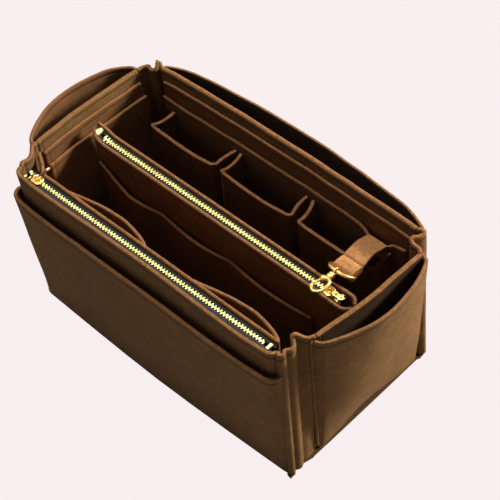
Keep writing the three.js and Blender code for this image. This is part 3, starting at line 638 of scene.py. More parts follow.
def sew(group, at, thickness, start, end, side=1):
    # a row of stitches on a sheet, from one (u, v) to another, on one of its faces
    steps = 80
    line = []
    for i in range(steps + 1):
        u, v = [a + (b - a) * i / steps for a, b in zip(start, end)]
        here = at(u, v)
        alongU = at(min(u + 0.01, 1), v) - at(max(u - 0.01, 0), v)
        alongV = at(u, min(v + 0.01, 1)) - at(u, max(v - 0.01, 0))
        normal = alongU.cross(alongV).normalized() * side
        line.append((here + normal * (thickness / 2 + 0.02), normal))
    stitchRows.setdefault(group, []).append(line)


def makeStitches(name, lines, body="tub"):
    bm = bmesh.new()
    pitch, length, thread = stitching["pitch"], stitching["length"], stitching["thread"]
    for line in lines:
        travelled, due = 0.0, pitch * 0.6
        for (a, normal), (b, _) in zip(line, line[1:]):
            step = (b - a).length
            while due <= travelled + step and step > 0:
                spot = a.lerp(b, (due - travelled) / step)
                along = (b - a).normalized()
                side = normal.cross(along)
                turned = Matrix((along, side, normal)).transposed().to_4x4()
                sized = Matrix.Diagonal((length / 2 * mm, thread * mm, thread * mm, 1))
                place = Matrix.Translation(moved(spot)) @ turned @ sized
                bmesh.ops.create_icosphere(bm, subdivisions=1, radius=1, matrix=place)
                due += pitch
            travelled += step
    return asPiece(bm, name, "thread", body)


panelForm = {
    "lift": (0.44, 0.25),  # where a lifted foot stands highest, and over what share
    "lap": (0.045, 6.5, 8),  # a lapping lip's share, how far it comes out and how far down
    "seam": (0.9, 1 / 260),  # how deep a middle seam draws in, and over what share
    "wrap": (130, 5),  # the length of an end panel, and how much of it turns in at each end
}


def wallPanel(node, wall, spec):
    # a wall, or a pocket on it
    wallHalf = spec.get("wallHalf", tub["wallFelt"] / 2)
    side, layer = spec.get("side", 0), spec.get("layer", 0)
    stack = wallHalf + tub["seam"] + tub["felt"] / 2 + layer * (tub["felt"] + tub["seam"]) if side else 0
    foot, rim = spec.get("foot", (0, 1)), spec.get("rim", (0, 1))
    low = tub["cellFloor"] if side > 0 or wall is walls["lining"] else tub["floorTop"]
    tall = spec["top"] - low
    mouth, belly = spec.get("mouth", 0), spec.get("belly", 0)
    ear, skew, lift = spec.get("ear", 0), spec.get("skew", 1.0), spec.get("lift", 0)
    wrap, seamShare, lap = spec.get("wrap", 0), spec.get("seamShare"), spec.get("lap")
    lapWidth, lapOut, lapDown = panelForm["lap"]
    seamDepth, seamWidth = panelForm["seam"]
    wrapLength, wrapEnd = panelForm["wrap"]

    def at(u, v):
        swell = math.sin(math.pi * min(max(u, 0), 1) ** skew) ** 0.8
        z = low + (tall + ear * (abs(2 * u - 1) ** 6)) * v
        z += 0.6 * ripple(u * 7, layer * 3 + wall["seed"], side * 2) * v
        opened = (min(mouth, 0.6) * (1 - v) + mouth * v) * swell
        opened += belly * swell * math.sin(math.pi * v) ** 2
        z += lift * hump(u, *panelForm["lift"]) * (1 - v) ** 5
        over = hump(u, lap, lapWidth) * v**6 if lap else 0
        opened += lapOut * over
        z -= lapDown * over
        if seamShare:
            opened -= seamDepth * hump(u, seamShare, seamWidth)
        first, last = [a + (b - a) * v for a, b in zip(foot, rim)]
        edge = min(u, 1 - u) * (last - first) * wrapLength  # how far the point is from the nearer end
        turned = wrap * max(0, 1 - edge / wrapEnd) ** 2
        return wallPoint(wall, first + (last - first) * u, z, side * (stack + opened - turned))

    size = (runLength(wall["rim"]) * (rim[1] - rim[0]), tall)
    thickness, material = spec.get("thickness", tub["felt"]), spec.get("material", "inner")
    addSheet(node, at, size, thickness, material, turn=side >= 0, lined=spec.get("lined"))


# foot and rim say between which shares of its wall a panel reaches
shell = {"top": tub["height"], "material": "shell"}
endWall = shell | {"thickness": tub["wallFelt"], "rim": (0.015, 0.985), "foot": (0.05, 0.97)}
outer = shell | {"side": -1}
endPocket = outer | {"wrap": 5.6, "rim": (-0.012, 1.012)}
highPocket = {"top": 149, "side": 1, "foot": (0.09, 0.91)}
lowPocket = highPocket | {"top": 136, "layer": 1}
gathered = {"top": 154, "side": 1, "wallHalf": 1.5, "belly": 1}
frontPocket = {"top": 135, "wallHalf": 1.5, "mouth": 5.5, "belly": 0.8, "skew": 0.9, "seamShare": 0.435}
rightPocket = {"top": 157, "mouth": 16, "skew": 0.92, "lift": 11, "belly": 4, "foot": (0.04, 1.01)}
# the far faces of these pockets take darker felt as painted shade: the inner felt on the left pocket, the near-black
# felt on the back pocket
leftPocket = {"top": 159, "mouth": 22, "lined": "inner", "belly": 2.5}
backPocket = {"top": 157, "mouth": 15, "belly": 2, "lined": "dark", "rim": (-0.022, 1.01), "foot": (-0.025, 1.0)}
lapping = {"top": 131, "rim": (0.03, 0.965), "foot": (0.04, 0.96), "ear": 4, "lap": 0.164}
gatheredLeft = {"rim": (0.1, 0.44), "foot": (0.14, 0.44), "mouth": 8.5, "skew": 1.25}
gatheredRight = {"rim": (0.64, 0.985), "foot": (0.64, 0.97), "mouth": 9, "skew": 1.35}
panels = {
    "front_wall": ("front", shell),
    # the end wall's face inside the end pocket takes the near-black felt: painted shade
    "right_end_wall": ("right", endWall | {"lined": "dark"}),
    "back_wall": ("back", shell | {"thickness": tub["wallFelt"]}),
    "left_end_wall": ("left", endWall | {"foot": (0.03, 0.97)}),
    "front_outer_pocket": ("front", outer | frontPocket),
    "right_outer_pocket": ("right", endPocket | rightPocket),
    "left_outer_pocket": ("left", endPocket | leftPocket),
    "back_outer_pocket": ("back", outer | backPocket),
    "right_inner_pocket_high": ("right", highPocket | {"rim": (0.09, 0.91)}),
    "right_inner_pocket_low": ("right", lowPocket | {"rim": (0.09, 0.91)}),
    "left_inner_pocket_high": ("left", highPocket | {"rim": (0.035, 0.965)}),
    "left_inner_pocket_low": ("left", lowPocket | {"rim": (0.035, 0.955), "mouth": 0.8}),
    "back_inner_pocket_high": ("back", highPocket | {"rim": (0.02, 0.97), "foot": (0.04, 0.96)}),
    "back_inner_pocket_low": ("back", lowPocket | lapping),
    "front_wall_lining": ("lining", {"top": tub["height"]}),
    "front_inner_pocket_left": ("lining", gathered | gatheredLeft),
    "front_inner_pocket_right": ("lining", gathered | gatheredRight),
}
for node, (wallName, spec) in panels.items():
    wallPanel(node, walls[wallName], spec)
print("panels made:", len(sheets))

# the corner pleats: folds as plan points at the floor and at the rim, between the ends of two walls
pleats = {
    "front_right_pleat": {
        "walls": ("front", "right"),
        "foot": [
            *[(151.4, -86.4), (153.6, -84.6), (151.5, -81.4), (153.8, -77.2)],
            *[(152.6, -73.4), (149.9, -71.0), (151.0, -66.5), (150.3, -58.5)],
        ],
        "rim": [
            *[(151.2, -87.8), (154.2, -84.6), (152.0, -80.8), (155.2, -76.6)],
            *[(153.0, -71.2), (148.6, -69.0), (150.4, -65.4), (157.4, -60.6)],
        ],
        "knob": 0.66,
        "rise": 4.5,
    },
    "back_right_pleat": {
        "walls": ("right", "back"),
        "foot": [(144.2, 72.6), (144.8, 75.4), (150.2, 77.6), (151.8, 80.6), (148.8, 82.2)],
        "rim": [(161.5, 62.8), (155.0, 63.2), (150.6, 65.6), (154.0, 73.4), (154.2, 78.4), (151.4, 79.6)],
        "knob": 0.5,
        "rise": 1.5,
    },
    "back_left_pleat": {
        "walls": ("back", "left"),
        "foot": [(-145.0, 80.0), (-146.4, 79.4), (-147.0, 77.8), (-147.0, 76.0), (-146.6, 74.4)],
        "rim": [(-148.6, 78.4), (-150.6, 77.4), (-147.4, 72.2), (-150.6, 68.6), (-155.8, 70.4), (-158.6, 66.4)],
        "knob": 0.22,
        "rise": 4.6,
    },
    "front_left_pleat": {
        "walls": ("left", "front"),
        "foot": [(-146.4, -71.8), (-148.6, -75.2), (-149.8, -78.6), (-148.8, -81.2)],
        "rim": [(-160.0, -62.2), (-155.4, -66.6), (-151.6, -71.0), (-150.4, -76.8), (-150.6, -81.4)],
        "knob": 0.85,
        "rise": 1.5,
    },
}


def spaced(points, count):
    # as many points as count says, even along the polyline
    run = []
    total = runLength(points)
    for i in range(count):
        due, k = total * i / (count - 1), 0
        while k < len(points) - 2 and due > (points[k + 1] - points[k]).length:
            due -= (points[k + 1] - points[k]).length
            k += 1
        run.append(points[k].lerp(points[k + 1], min(1, due / (points[k + 1] - points[k]).length)))
    return run


def pleatPoint(spec):
    first, second = (walls[key] for key in spec["walls"])
    foot = spaced(smoothRun(spec["foot"], 40), 25)
    rim = spaced(smoothRun(spec["rim"], 40), 25)
    low, tall = tub["floorTop"], tub["height"] - tub["floorTop"]
    known = {}

    def runAt(v):
        if v not in known:
            z = low + tall * v
            ends = [wallPoint(first, 1.0, z), wallPoint(second, 0.0, z)]
            if spec["walls"][0] in ("left", "right"):
                ends[0] = wallPoint(first, 0.985, z)
            if spec["walls"][1] in ("left", "right"):
                ends[1] = wallPoint(second, 0.045 - 0.03 * v, z)
            folds = [a.lerp(b, v) for a, b in zip(foot, rim)]
            known[v] = spaced([ends[0].to_2d(), *folds, ends[1].to_2d()], 49)
        return known[v]

    def at(u, v):
        p = alongRun(runAt(v), u)
        crest = spec["rise"] * hump(u, spec["knob"], 0.1) * v**8
        return Vector((p.x, p.y, low + tall * v + crest))

    return at


fin = {"rim": [(157.6, -57.6), (160.6, -61.4)], "foot": [(150.6, -51.8), (153.6, -55.0)], "heights": (9, 158.6)}


def ruled(spec, u, v):
    # a plan point on the flat sheet between a foot and a rim, each given by its two ends
    foot, rim = [Vector(start).lerp(Vector(end), u) for start, end in (spec["foot"], spec["rim"])]
    return foot.lerp(rim, v)


def finPoint(u, v):
    low, high = fin["heights"]
    p = ruled(fin, u, v)
    wave = 0.5 * ripple(3, 1, v * 9)
    return Vector((p.x + wave, p.y, low + (high - low) * v - 2.0 * u * v))


feltSheet("right_end_fin", finPoint, (5, 150), 2.6, "shell", cell=1.6)
for node, spec in pleats.items():
    size = (runLength(smoothRun(spec["rim"], 40)) + 4, tub["height"] - tub["floorTop"])
    addSheet(node, pleatPoint(spec), size, material="shell", cell=1.5)
print("pleats made:", len(pleats))


def rounded(corners, radius):
    # a plan polyline with rounded corners, with points even along it
    corners = [Vector(c) for c in corners]
    run = [corners[0]]
    for before, here, after in zip(corners, corners[1:], corners[2:]):
        cut = min(radius, (before - here).length * 0.45, (after - here).length * 0.45)
        start = here + (before - here).normalized() * cut
        end = here + (after - here).normalized() * cut
        run += [start.lerp(here, s).lerp(here.lerp(end, s), s) for s in (0, 0.25, 0.5, 0.75, 1)]
    run.append(corners[-1])
    return spaced(run, max(8, round(runLength(run) / 2)) + 1)


gusset = {"foot": [(-142.6, -67.3), (-133.8, -76.6)], "rim": [(-155.4, -59.5), (-131.1, -77.8)], "top": 154}


def gussetPoint(u, v):
    p = ruled(gusset, u, v)
    low, arch = tub["cellFloor"], math.sin(math.pi * u)
    bow = 1.2 * arch
    return Vector((p.x + bow, p.y + bow, low + (gusset["top"] - low) * v - 2 * arch * v))


addSheet("front_left_gusset", gussetPoint, (28, 145))

# three cells that stand against the low pocket of the back wall
cells = {
    "cell_pocket_1": {"corners": [(-126.2, 68.2), (-130.8, 45.0), (-53.4, 45.0), (-51.6, 70.0)], "bow": 0.8},
    "cell_pocket_2": {"corners": [(-45.4, 70.2), (-44.6, 45.0), (37.0, 45.0), (32.0, 70.2)], "bow": 1.2},
    "cell_pocket_3": {"corners": [(39.2, 70.2), (45.4, 45.0), (129.4, 47.2), (126.0, 68.4)], "bow": 1.0},
}
cellTall = 112.8
for node, spec in cells.items():
    run = rounded(spec["corners"], 2.6)
    total = runLength(run)
    sides = [runLength([Vector(p) for p in spec["corners"][k : k + 2]]) / total for k in (0, 2)]
    corners = (sides[0], 1 - sides[1])

    def cellPoint(u, v, run=run, spec=spec, corners=corners):
        k, t = onRun(run, u)
        p = run[k].lerp(run[k + 1], t)
        normal = (run[k + 1] - run[k]).normalized()
        front = math.sin(math.pi * min(max((u - corners[0]) / (corners[1] - corners[0]), 0), 1))
        flank = math.sin(math.pi * min(1, u / corners[0])) if u < corners[0] else 0
        flank -= math.sin(math.pi * min(1, (1 - u) / (1 - corners[1]))) if u > corners[1] else 0
        ears = sum(hump(u, c, 0.018) for c in corners)
        lip = 1.0 * ripple(u * 6, spec["bow"], 4)
        lip = lip + 2.4 * ears - 1.6 * front + 1.5 * (abs(2 * u - 1) ** 8)
        away = Vector((normal.y, -normal.x)) * (spec["bow"] * front - 2.2 * abs(flank)) * v
        p = p + away + Vector((0, -0.8 * ears * v))
        return Vector((p.x, p.y, tub["cellFloor"] + (cellTall + lip) * v))

    addSheet(node, cellPoint, (total, cellTall), cell=1.9, turn=True)
print("cells made:", len(cells))

# the middle pouch: two panels that close at their right end and climb to the end wall at their left
pouch = {
    "low": tub["cellFloor"],
    "high": 140,
    "foot": [(-136.4, 2.6), (-132.4, 4.1), (104.2, 4.1), (120.5, 4.1), (131.0, 4.1), (134.6, 1.7)],
    "rim": [(-147.2, 3.4), (-142.0, 7.0), (118.5, 7.05), (133.0, 8.6), (148.6, 8.2), (153.2, 1.9)],
    "middle": (-2.15, -3.14),
    "climb": (-126, -147, 11.5),
}


def climbing(x):
    start, end, rise = pouch["climb"]
    s = min(max((start - x) / (start - end), 0), 1)
    return rise * s**3


def pouchPoint(side):
    def at(u, v):
        z = pouch["low"] + (pouch["high"] - pouch["low"]) * v
        rise = z / tub["height"]
        middle = pouch["middle"][0] * (1 - rise) + pouch["middle"][1] * rise
        run = pouchRuns.get((side, round(v, 4)))
        if run is None:
            points = [Vector(a).lerp(Vector(b), rise) for a, b in zip(pouch["foot"], pouch["rim"])]
            run = rounded([(p.x, middle + side * p.y) for p in points], 9)
            pouchRuns[(side, round(v, 4))] = run
        p = alongRun(run, u)
        sway = 0.9 * ripple(p.x * 0.02, 5, z * 0.02) * min(1, v * 3) * (1 - v**6)
        lip = 0.4 * ripple(p.x * 0.03, side, 2)
        return Vector((p.x, p.y + sway, z + (lip + climbing(p.x)) * v))

    return at


pouchRuns = {}
for side, node in ((-1, "pouch_front_panel"), (1, "pouch_back_panel")):
    addSheet(node, pouchPoint(side), (300, pouch["high"] - pouch["low"]), turn=side < 0)

slip = {
    "foot": [(-126.4, -9.6), (110, -9.6)],
    "rim": [(-140.8, -13.6), (114, -13.6)],
    "pinches": (0.3, 0.63),
    "tall": 94.8,
    "ear": (14.2, 0.15),  # how much higher its left end stands, and over what share
}


def slipPoint(u, v):
    height, width = slip["ear"]
    ear = height * max(0, width - u) / width
    marks = (0, *slip["pinches"], 1)
    swell = 0
    if 0 <= u <= 1:
        swell = max(math.sin(math.pi * (u - m) / (n - m)) for m, n in zip(marks, marks[1:]) if m <= u <= n)
    tall = slip["tall"] + ear + 1.2 * ripple(u * 5, 3, 8) - 1.5 * swell
    z = tub["cellFloor"] + tall * v
    p = ruled(slip, u, z / tub["height"])
    sway = 0.9 * ripple(p.x * 0.02, 5, z * 0.02) * min(1, v * 3)
    return Vector((p.x, p.y - (0.6 * (1 - v) + 3.2 * v) * swell + sway, z))


addSheet("pouch_slip_pocket", slipPoint, (245, 95), turn=True)
print("pouch made")


floorCorners = {
    "front": [(150.2, -88.2), (154.6, -89.2), (154.4, -82.9), (150.4, -78.6), (154.2, -61.6)],
    "right": [(152.6, 74.4), (152.0, 79.6), (148.2, 83.6)],
    "back": [(-146.5, 83.2), (-149.6, 80.4), (-150.4, 76.0)],
    "left": [(-150.4, -74.0), (-151.6, -80.6), (-149.6, -84.6)],
}


def floorPiece(node, inset, low, material):
    # a flat piece with the outline of the walls' feet, moved inwards, or outwards by a negative inset
    bm = bmesh.new()
    cloth = bm.loops.layers.uv.new("cloth")
    edges = bm.loops.layers.uv.new("edges")
    outline = []
    for key in ("front", "right", "back", "left"):
        wall, half = walls[key], tub["felt" if key == "front" else "wallFelt"] / 2
        away = inset + math.copysign(half, inset)
        run = [p + n * away for p, n in zip(wall["foot"], wall["footNormals"])]
        outline += run[1:-1] if inset > 0 else run + [Vector(p) for p in floorCorners[key]]
    verts = [bm.verts.new(moved(Vector((p.x, p.y, low)))) for p in outline]
    face = bm.faces.new(verts)
    for loop in face.loops:
        loop[cloth].uv = (loop.vert.co.x, 0.05)
        loop[edges].uv = (0.05, 0.05)
    raised = bmesh.ops.extrude_face_region(bm, geom=[face])
    top = [v for v in raised["geom"] if isinstance(v, bmesh.types.BMVert)]
    bmesh.ops.translate(bm, verts=top, vec=(0, 0, tub["felt"] * mm))
    bmesh.ops.recalc_face_normals(bm, faces=bm.faces[:])
    rims = [e for e in bm.edges if len(e.link_faces) == 2 and e.calc_face_angle() > 1.2]
    bevelEdges(bm, rims, tub["felt"] * 0.3 * mm)
    asPiece(bm, node + "_felt", material, "tub", (node,))


# the base panel takes the darker copy of the shell felt: painted shade
floorPiece("base_panel", -3.8, 0, "sole")
floorPiece("base_liner", 4, 5.8, "inner")
print("floor made")


def sewSides(part, node, side, foot=False, rim=False, inset=4.2):
    # up both sides of a sheet and perhaps along its foot, or along its rim alone
    at, size, thickness = sheets[node]
    u, v = inset / size[0], inset / size[1]
    rows = [((u, 0.03), (u, 1 - v)), ((1 - u, 0.03), (1 - u, 1 - v))]
    if foot:
        rows.append(((u, v * 1.4), (1 - u, v * 1.4)))
    if rim:
        rows = [((u, 1 - v), (1 - u, 1 - v))]
    for start, end in rows:
        sew(part + "_stitching", at, thickness, start, end, side)


sewSides("front", "front_outer_pocket", -1, foot=True)
sewSides("front", "front_wall", -1, rim=True)
sew("front_stitching", sheets["front_outer_pocket"][0], tub["felt"], (0.5, 0.03), (0.5, 0.97), -1)
for end, part in (("right", "end"), ("left", "end"), ("back", "back")):
    sewSides(part, end + "_outer_pocket", -1, foot=True)
    sewSides(part, end + "_inner_pocket_low", 1)
    sewSides(part, end + "_inner_pocket_high", 1)
sewSides("lining", "front_wall_lining", 1, rim=True)
sewSides("lining", "front_inner_pocket_left", 1)
sewSides("lining", "front_inner_pocket_right", 1)
sewSides("pouch", "pouch_front_panel", -1, rim=True)
sewSides("pouch", "pouch_back_panel", 1, rim=True)
sewSides("pouch", "pouch_slip_pocket", -1)
for node in cells:
    sewSides("cell", node, -1)
for group, lines in stitchRows.items():
    makeStitches(group, lines)
print("stitching made:", len(stitchRows), "groups")

zips = {
    "front": {"place": (0, -84.5, 156.6), "turned": False, "slider": -127},
    "middle": {"place": (-3, -3, 136.6), "turned": True, "slider": -127},
}
teeth = {"pitch": 3.2, "width": 1.5, "inner": -0.9, "outer": 2.15, "height": 2.3}
teeth |= {"ends": 137.6, "stops": 139.4, "splay": 1.3}


def onZip(spec, x, y, z):
    # from a zip's own frame to the tub's
    turn = -1 if spec["turned"] else 1
    px, py, pz = spec["place"]
    return Vector((px + turn * x, py + turn * y, pz + z))


def zipPoint(spec, x, y, z):
    # the same on the rows and tapes, which climb with the pouch
    world = onZip(spec, x, y, z)
    if spec["turned"]:
        world.z += climbing(world.x)
    return world


def parting(spec, x):
    # how far the rows have parted at x, behind the slider
    s = min(max((spec["slider"] - x) / 7, 0), 1)
    return teeth["splay"] * s * s * (3 - 2 * s)


def addBlock(bm, spec, x, near, far, width, height, bevel, side):
    made = bmesh.ops.create_cube(bm, size=1)["verts"]
    away = parting(spec, x)
    for vert in made:
        tapered = 0.82 if vert.co.y * side < 0 else 1.0
        y = (near if vert.co.y < 0 else far) + side * away
        z = vert.co.z * height * (0.8 + 0.2 * tapered)
        vert.co = moved(zipPoint(spec, x + vert.co.x * width * tapered, y, z))
    edges = {edge for vert in made for edge in vert.link_edges}
    bevelEdges(bm, edges, bevel * mm, 2)


def makeTeeth(prefix, spec, name, side):
    bm = bmesh.new()
    count = int(2 * teeth["ends"] / teeth["pitch"])
    start = -teeth["ends"] + (0.8 if side > 0 else 0.8 + teeth["pitch"] / 2)
    for i in range(count):
        x = start + i * teeth["pitch"]
        broad = 1.1 * min(max((x - 124) / 7, 0), 1) if spec["turned"] else 0
        near, far = sorted((side * teeth["inner"], side * (teeth["outer"] + broad)))
        addBlock(bm, spec, x, near, far, teeth["width"], teeth["height"], 0.28, side)
    near, far = sorted((side * 0.2, side * 3.2))
    addBlock(bm, spec, -teeth["stops"], near, far, 2.6, 2.7, 0.5, side)
    stands = [f"{prefix}_zip_{name}_teeth", f"{prefix}_zip_{name}_top_stop"]
    if side > 0:
        addBlock(bm, spec, teeth["stops"], -3.3, 3.3, 3.4, 2.9, 0.6, 1)
        stands.append(f"{prefix}_zip_bottom_stop")
    row = asPiece(bm, f"{prefix}_zip_{name}_tooth_row", "teeth", "tub", stands)
    row.data.shade_flat()


# from where it starts; how far the teeth and the felt are; the share that lies flat; how its ends narrow
tapeForm = {"start": -143.4, "length": 287.2, "inner": 1.6, "outer": 5.0, "flat": 0.4, "drop": 7}
tapeForm |= {"ends": 140.6, "endLength": 3.2, "narrowing": 2.2}


def makeTape(prefix, spec, name, side):
    # flat from the teeth to the felt, then down along it, with narrower ends
    def at(u, v):
        x = tapeForm["start"] + tapeForm["length"] * u
        inner = tapeForm["inner"] + parting(spec, x)
        ending = max(0, abs(x) - tapeForm["ends"]) / tapeForm["endLength"]
        outer = tapeForm["outer"] - tapeForm["narrowing"] * ending**2
        y = inner + (outer - inner) * min(1, v / tapeForm["flat"])
        drop = max(0, v - tapeForm["flat"]) / (1 - tapeForm["flat"])
        return zipPoint(spec, x, side * (y - 0.9 * drop), 0.1 - tapeForm["drop"] * drop)

    bm = bmesh.new()
    for vert, (u, v) in gridShares(bm, 180, 10).items():
        vert.co = moved(at(u, v))
    part = f"{prefix}_zip_{name}"
    tape = asPiece(bm, part + "_woven_tape", "tape", "tub", (part + "_tape",))
    thick = tape.modifiers.new("thickness", "SOLIDIFY")
    thick.thickness = 0.7 * mm
    thick.offset = 0


def placedLayer(bm):
    # marks the corners that already stand where they belong
    return bm.verts.layers.int.get("placed") or bm.verts.layers.int.new("placed")


def putInPlace(bm, placed, place):
    for vert in bm.verts:
        if not vert[placed]:
            vert.co = moved(place(*vert.co))
            vert[placed] = 1
    bm.normal_update()
    bmesh.ops.recalc_face_normals(bm, faces=bm.faces[:])


def plate(bm, outline, low, high, bevel, place):
    # a flat plate with rounded edges, from an outline in its own frame
    placed = placedLayer(bm)
    face = bm.faces.new([bm.verts.new((x, y, low)) for x, y in outline])
    raised = bmesh.ops.extrude_face_region(bm, geom=[face])["geom"]
    top = [v for v in raised if isinstance(v, bmesh.types.BMVert)]
    bmesh.ops.translate(bm, verts=top, vec=(0, 0, high - low))
    verts = set(top) | set(face.verts)
    faces = {f for v in verts for f in v.link_faces}
    bmesh.ops.recalc_face_normals(bm, faces=list(faces))
    rims = {e for f in faces for e in f.edges if e.calc_face_angle(0) > 0.9}
    bevelEdges(bm, rims, bevel)
    putInPlace(bm, placed, place)


def turnedPiece(name, profile, place, body, material="gold", stands=(), steps=28):
    # a lathe form from (radius, height) points, about its own Z
    bm = bmesh.new()
    placed = placedLayer(bm)
    run = [bm.verts.new((r, 0, h)) for r, h in profile]
    edges = [bm.edges.new(pair) for pair in zip(run, run[1:])]
    about = {"cent": (0, 0, 0), "axis": (0, 0, 1), "angle": 2 * math.pi}
    bmesh.ops.spin(bm, geom=run + edges, steps=steps, use_merge=True, **about)
    bmesh.ops.remove_doubles(bm, verts=bm.verts[:], dist=0.0001)
    putInPlace(bm, placed, place)
    asPiece(bm, name, material, body, stands)


def wirePiece(name, points, radius, body, stands=(), closed=False):
    curve = bpy.data.curves.new(name, "CURVE")
    curve.dimensions = "3D"
    curve.bevel_depth = radius * mm
    curve.bevel_resolution = 5
    curve.use_fill_caps = True
    curve.resolution_u = 6
    line = curve.splines.new("BEZIER")
    line.bezier_points.add(len(points) - 1)
    line.use_cyclic_u = closed
    for knot, point in zip(line.bezier_points, points):
        knot.co = moved(Vector(point))
        knot.handle_left_type = knot.handle_right_type = "AUTO"
    addPiece(name, curve, "gold", body, stands)


def arc(center, radius, start, end, steps):
    turns = [start + (end - start) * i / steps for i in range(steps + 1)]
    return [(center[0] + radius * math.cos(a), center[1] + radius * math.sin(a)) for a in turns]


def mirrored(outline):
    return outline + [(x, -y) for x, y in reversed(outline)]


sliderTop = [(-5.25, -3.2), (-4.4, -4.5), (-2.6, -4.9), (1.6, -4.7), (3.9, -4.0), (5.0, -2.4), (5.25, -1.0)]
sliderLip = [(-3.4, 3.85), (2.2, 3.85), (2.6, 4.75), (-3.6, 4.75)]
# the slider's plates: outline, bottom, top and how soft the edges are
sliderPlates = [
    (mirrored(sliderTop), 1.42, 2.3, 0.32),
    (mirrored([(-5.1, -3.2), (-3.9, -3.7), (3.6, -3.5), (5.0, -1.6)]), -2.3, -1.42, 0.3),
    (sliderLip, 0.7, 1.9, 0.2),
    ([(x, -y) for x, y in sliderLip], 0.7, 1.9, 0.2),
    ([(-5.2, -0.5), (-3.2, -0.5), (-1.9, 0), (-3.2, 0.5), (-5.2, 0.5)], -1.9, 1.9, 0.12),
    (mirrored([(-2.9, -1.2), (-1.6, -1.9), (1.8, -1.7), (3.2, -0.8)]), 2.2, 2.75, 0.25),
]
bailForm = [(-2.7, 1.8), (-2.7, 3.6), (-2.35, 4.7), (-1.2, 5.0), (1.2, 5.0), (2.35, 4.7), (2.7, 3.6), (2.7, 1.8)]
pullPlate = [(0.7, -0.65), (0.2, -1.95), (-3.4, -2.05), (-4.6, -1.05), (-5.8, -1.95), (-7.8, -2.65)]
pullPlate += [(-9.4, -1.75), (-10.6, -1.45), (-12.4, -2.35), (-14.6, -2.15), (-16.2, -0.85)]
pullHoles = [(-1.75, 4.2, 1.15), (-8.0, 2.5, 1.25), (-13.6, 1.9, 0.9)]  # middle, length and half width
for prefix, spec in zips.items():
    turned = spec["turned"]
    for name, side in (("front", 1 if turned else -1), ("rear", -1 if turned else 1)):
        makeTeeth(prefix, spec, name, side)
        makeTape(prefix, spec, name, side)

    def atSlider(x, y, z, spec=spec):
        return onZip(spec, x + spec["slider"], y, z)

    bm = bmesh.new()
    for outline, low, high, soft in sliderPlates:
        plate(bm, outline, low, high, soft, atSlider)
    asPiece(bm, prefix + "_slider_body", "gold", prefix + "_slider", (prefix + "_zip_slider",))
    bail = [atSlider(x, 0, z) for x, z in bailForm]
    wirePiece(prefix + "_slider_bail", bail, 0.7, prefix + "_slider")


# the front puller: a leather tab with a gold cap, on a ring through the bail
def atTab(x, y, z):
    spec = zips["front"]
    return onZip(spec, x + spec["slider"], z, y + 5.0)


tabForm = [(0, 1.7), (0.62, 1.7), (0.7, 2.9), (1.05, 3.4), (1.22, 5.0)]
tabForm += [(1.22, 9.7), (0.95, 10.2), (0.9, 10.6), (0, 10.6)]
capForm = [(0, 10.1), (0.98, 10.1), (1.24, 10.4), (1.28, 12.6), (1.05, 13.4), (0.55, 13.9), (0, 14.0)]
turnedPiece("front_puller_tab", tabForm, atTab, "front_puller", "leather", ("front_zip_puller",))
turnedPiece("front_puller_cap", capForm, atTab, "front_puller")
tabRing = [atTab(0, *p) for p in arc((0, 0), 1.6, 0, 2 * math.pi, 10)[:-1]]
wirePiece("front_puller_ring", tabRing, 0.6, "front_puller", closed=True)


# the middle puller: an ornate gold plate with three holes
def atPlate(x, y, z):
    spec = zips["middle"]
    return onZip(spec, x + spec["slider"], y, z + 2.95)


def flatForm(name, outlines, half, soft):
    # a flat plate with soft edges: the first outline is its edge, the others its holes
    flat = bpy.data.curves.new(name, "CURVE")
    flat.dimensions, flat.fill_mode = "2D", "BOTH"
    flat.extrude, flat.bevel_depth, flat.bevel_resolution = half - soft, soft, 2
    for outline in outlines:
        line = flat.splines.new("POLY")
        line.points.add(len(outline) - 1)
        line.use_cyclic_u = True
        for point, (x, y) in zip(line.points, outline):
            point.co = (x, y, 0, 1)
    shape = addObject(name, flat)
    mesh = evaluatedMesh(shape)
    made = bmesh.new()
    made.from_mesh(mesh)
    bpy.data.objects.remove(shape)
    bpy.data.meshes.remove(mesh)
    bmesh.ops.remove_doubles(made, verts=made.verts[:], dist=0.01)
    return made


outlines = [mirrored(pullPlate)]
for x, length, half in pullHoles:
    first = arc((x + length / 2 - half, 0), half, math.pi / 2, -math.pi / 2, 8)
    outlines.append(first + arc((x - length / 2 + half, 0), half, -math.pi / 2, -3 * math.pi / 2, 8))
bm = flatForm("puller_outline", outlines, 0.65, 0.28)
putInPlace(bm, placedLayer(bm), atPlate)
asPiece(bm, "middle_puller_plate", "gold", "middle_puller", ("middle_zip_puller",))
print("zips made:", len(zips))

strap = {
    "across": (104, 124),
    "drift": 8,
    "driftFrom": 68.04,
    "driftTo": 24,
    "run": [
        *[(68.04, 112), (68.04, 120), (68.04, 127), (62.6, 131.9), (55.2, 135.8)],
        *[(49.7, 139.0), (42.3, 140.7), (34.4, 141.8), (27.4, 143.2), (22.0, 144.5)],
    ],
    "bar": (18.5, 141.5),
    "loop": 3.1,
    "tail": [(24.0, 139.6), (29.5, 138.3)],
    "pinch": (29.5, 1.7),  # where the seam that closes the loop draws it in, and how widely
    "size": (20, 95),
    "felt": 2.9,
}
strapRun = [Vector(p) for p in strap["run"]]
strapRun += [Vector(p) for p in arc(strap["bar"], strap["loop"], math.pi / 2, 3 * math.pi / 2, 10)]
strapRun += [Vector(p) for p in strap["tail"]]
strapRun = spaced(smoothRun(strapRun, 160), 100)


def strapPoint(u, v):
    y, z = alongRun(strapRun, v)
    share = min(max((strap["driftFrom"] - y) / (strap["driftFrom"] - strap["driftTo"]), 0), 1)
    low, high = strap["across"]
    cup = 0.7 * math.sin(math.pi * u) * min(1, max(0, v - 0.12) * 6) * (1 if v < 0.72 else 0)
    pinch = 1.9 * hump(y, *strap["pinch"]) if v < 0.8 else 0
    return Vector((low + (high - low) * u + strap["drift"] * share, y, z + cup - pinch))


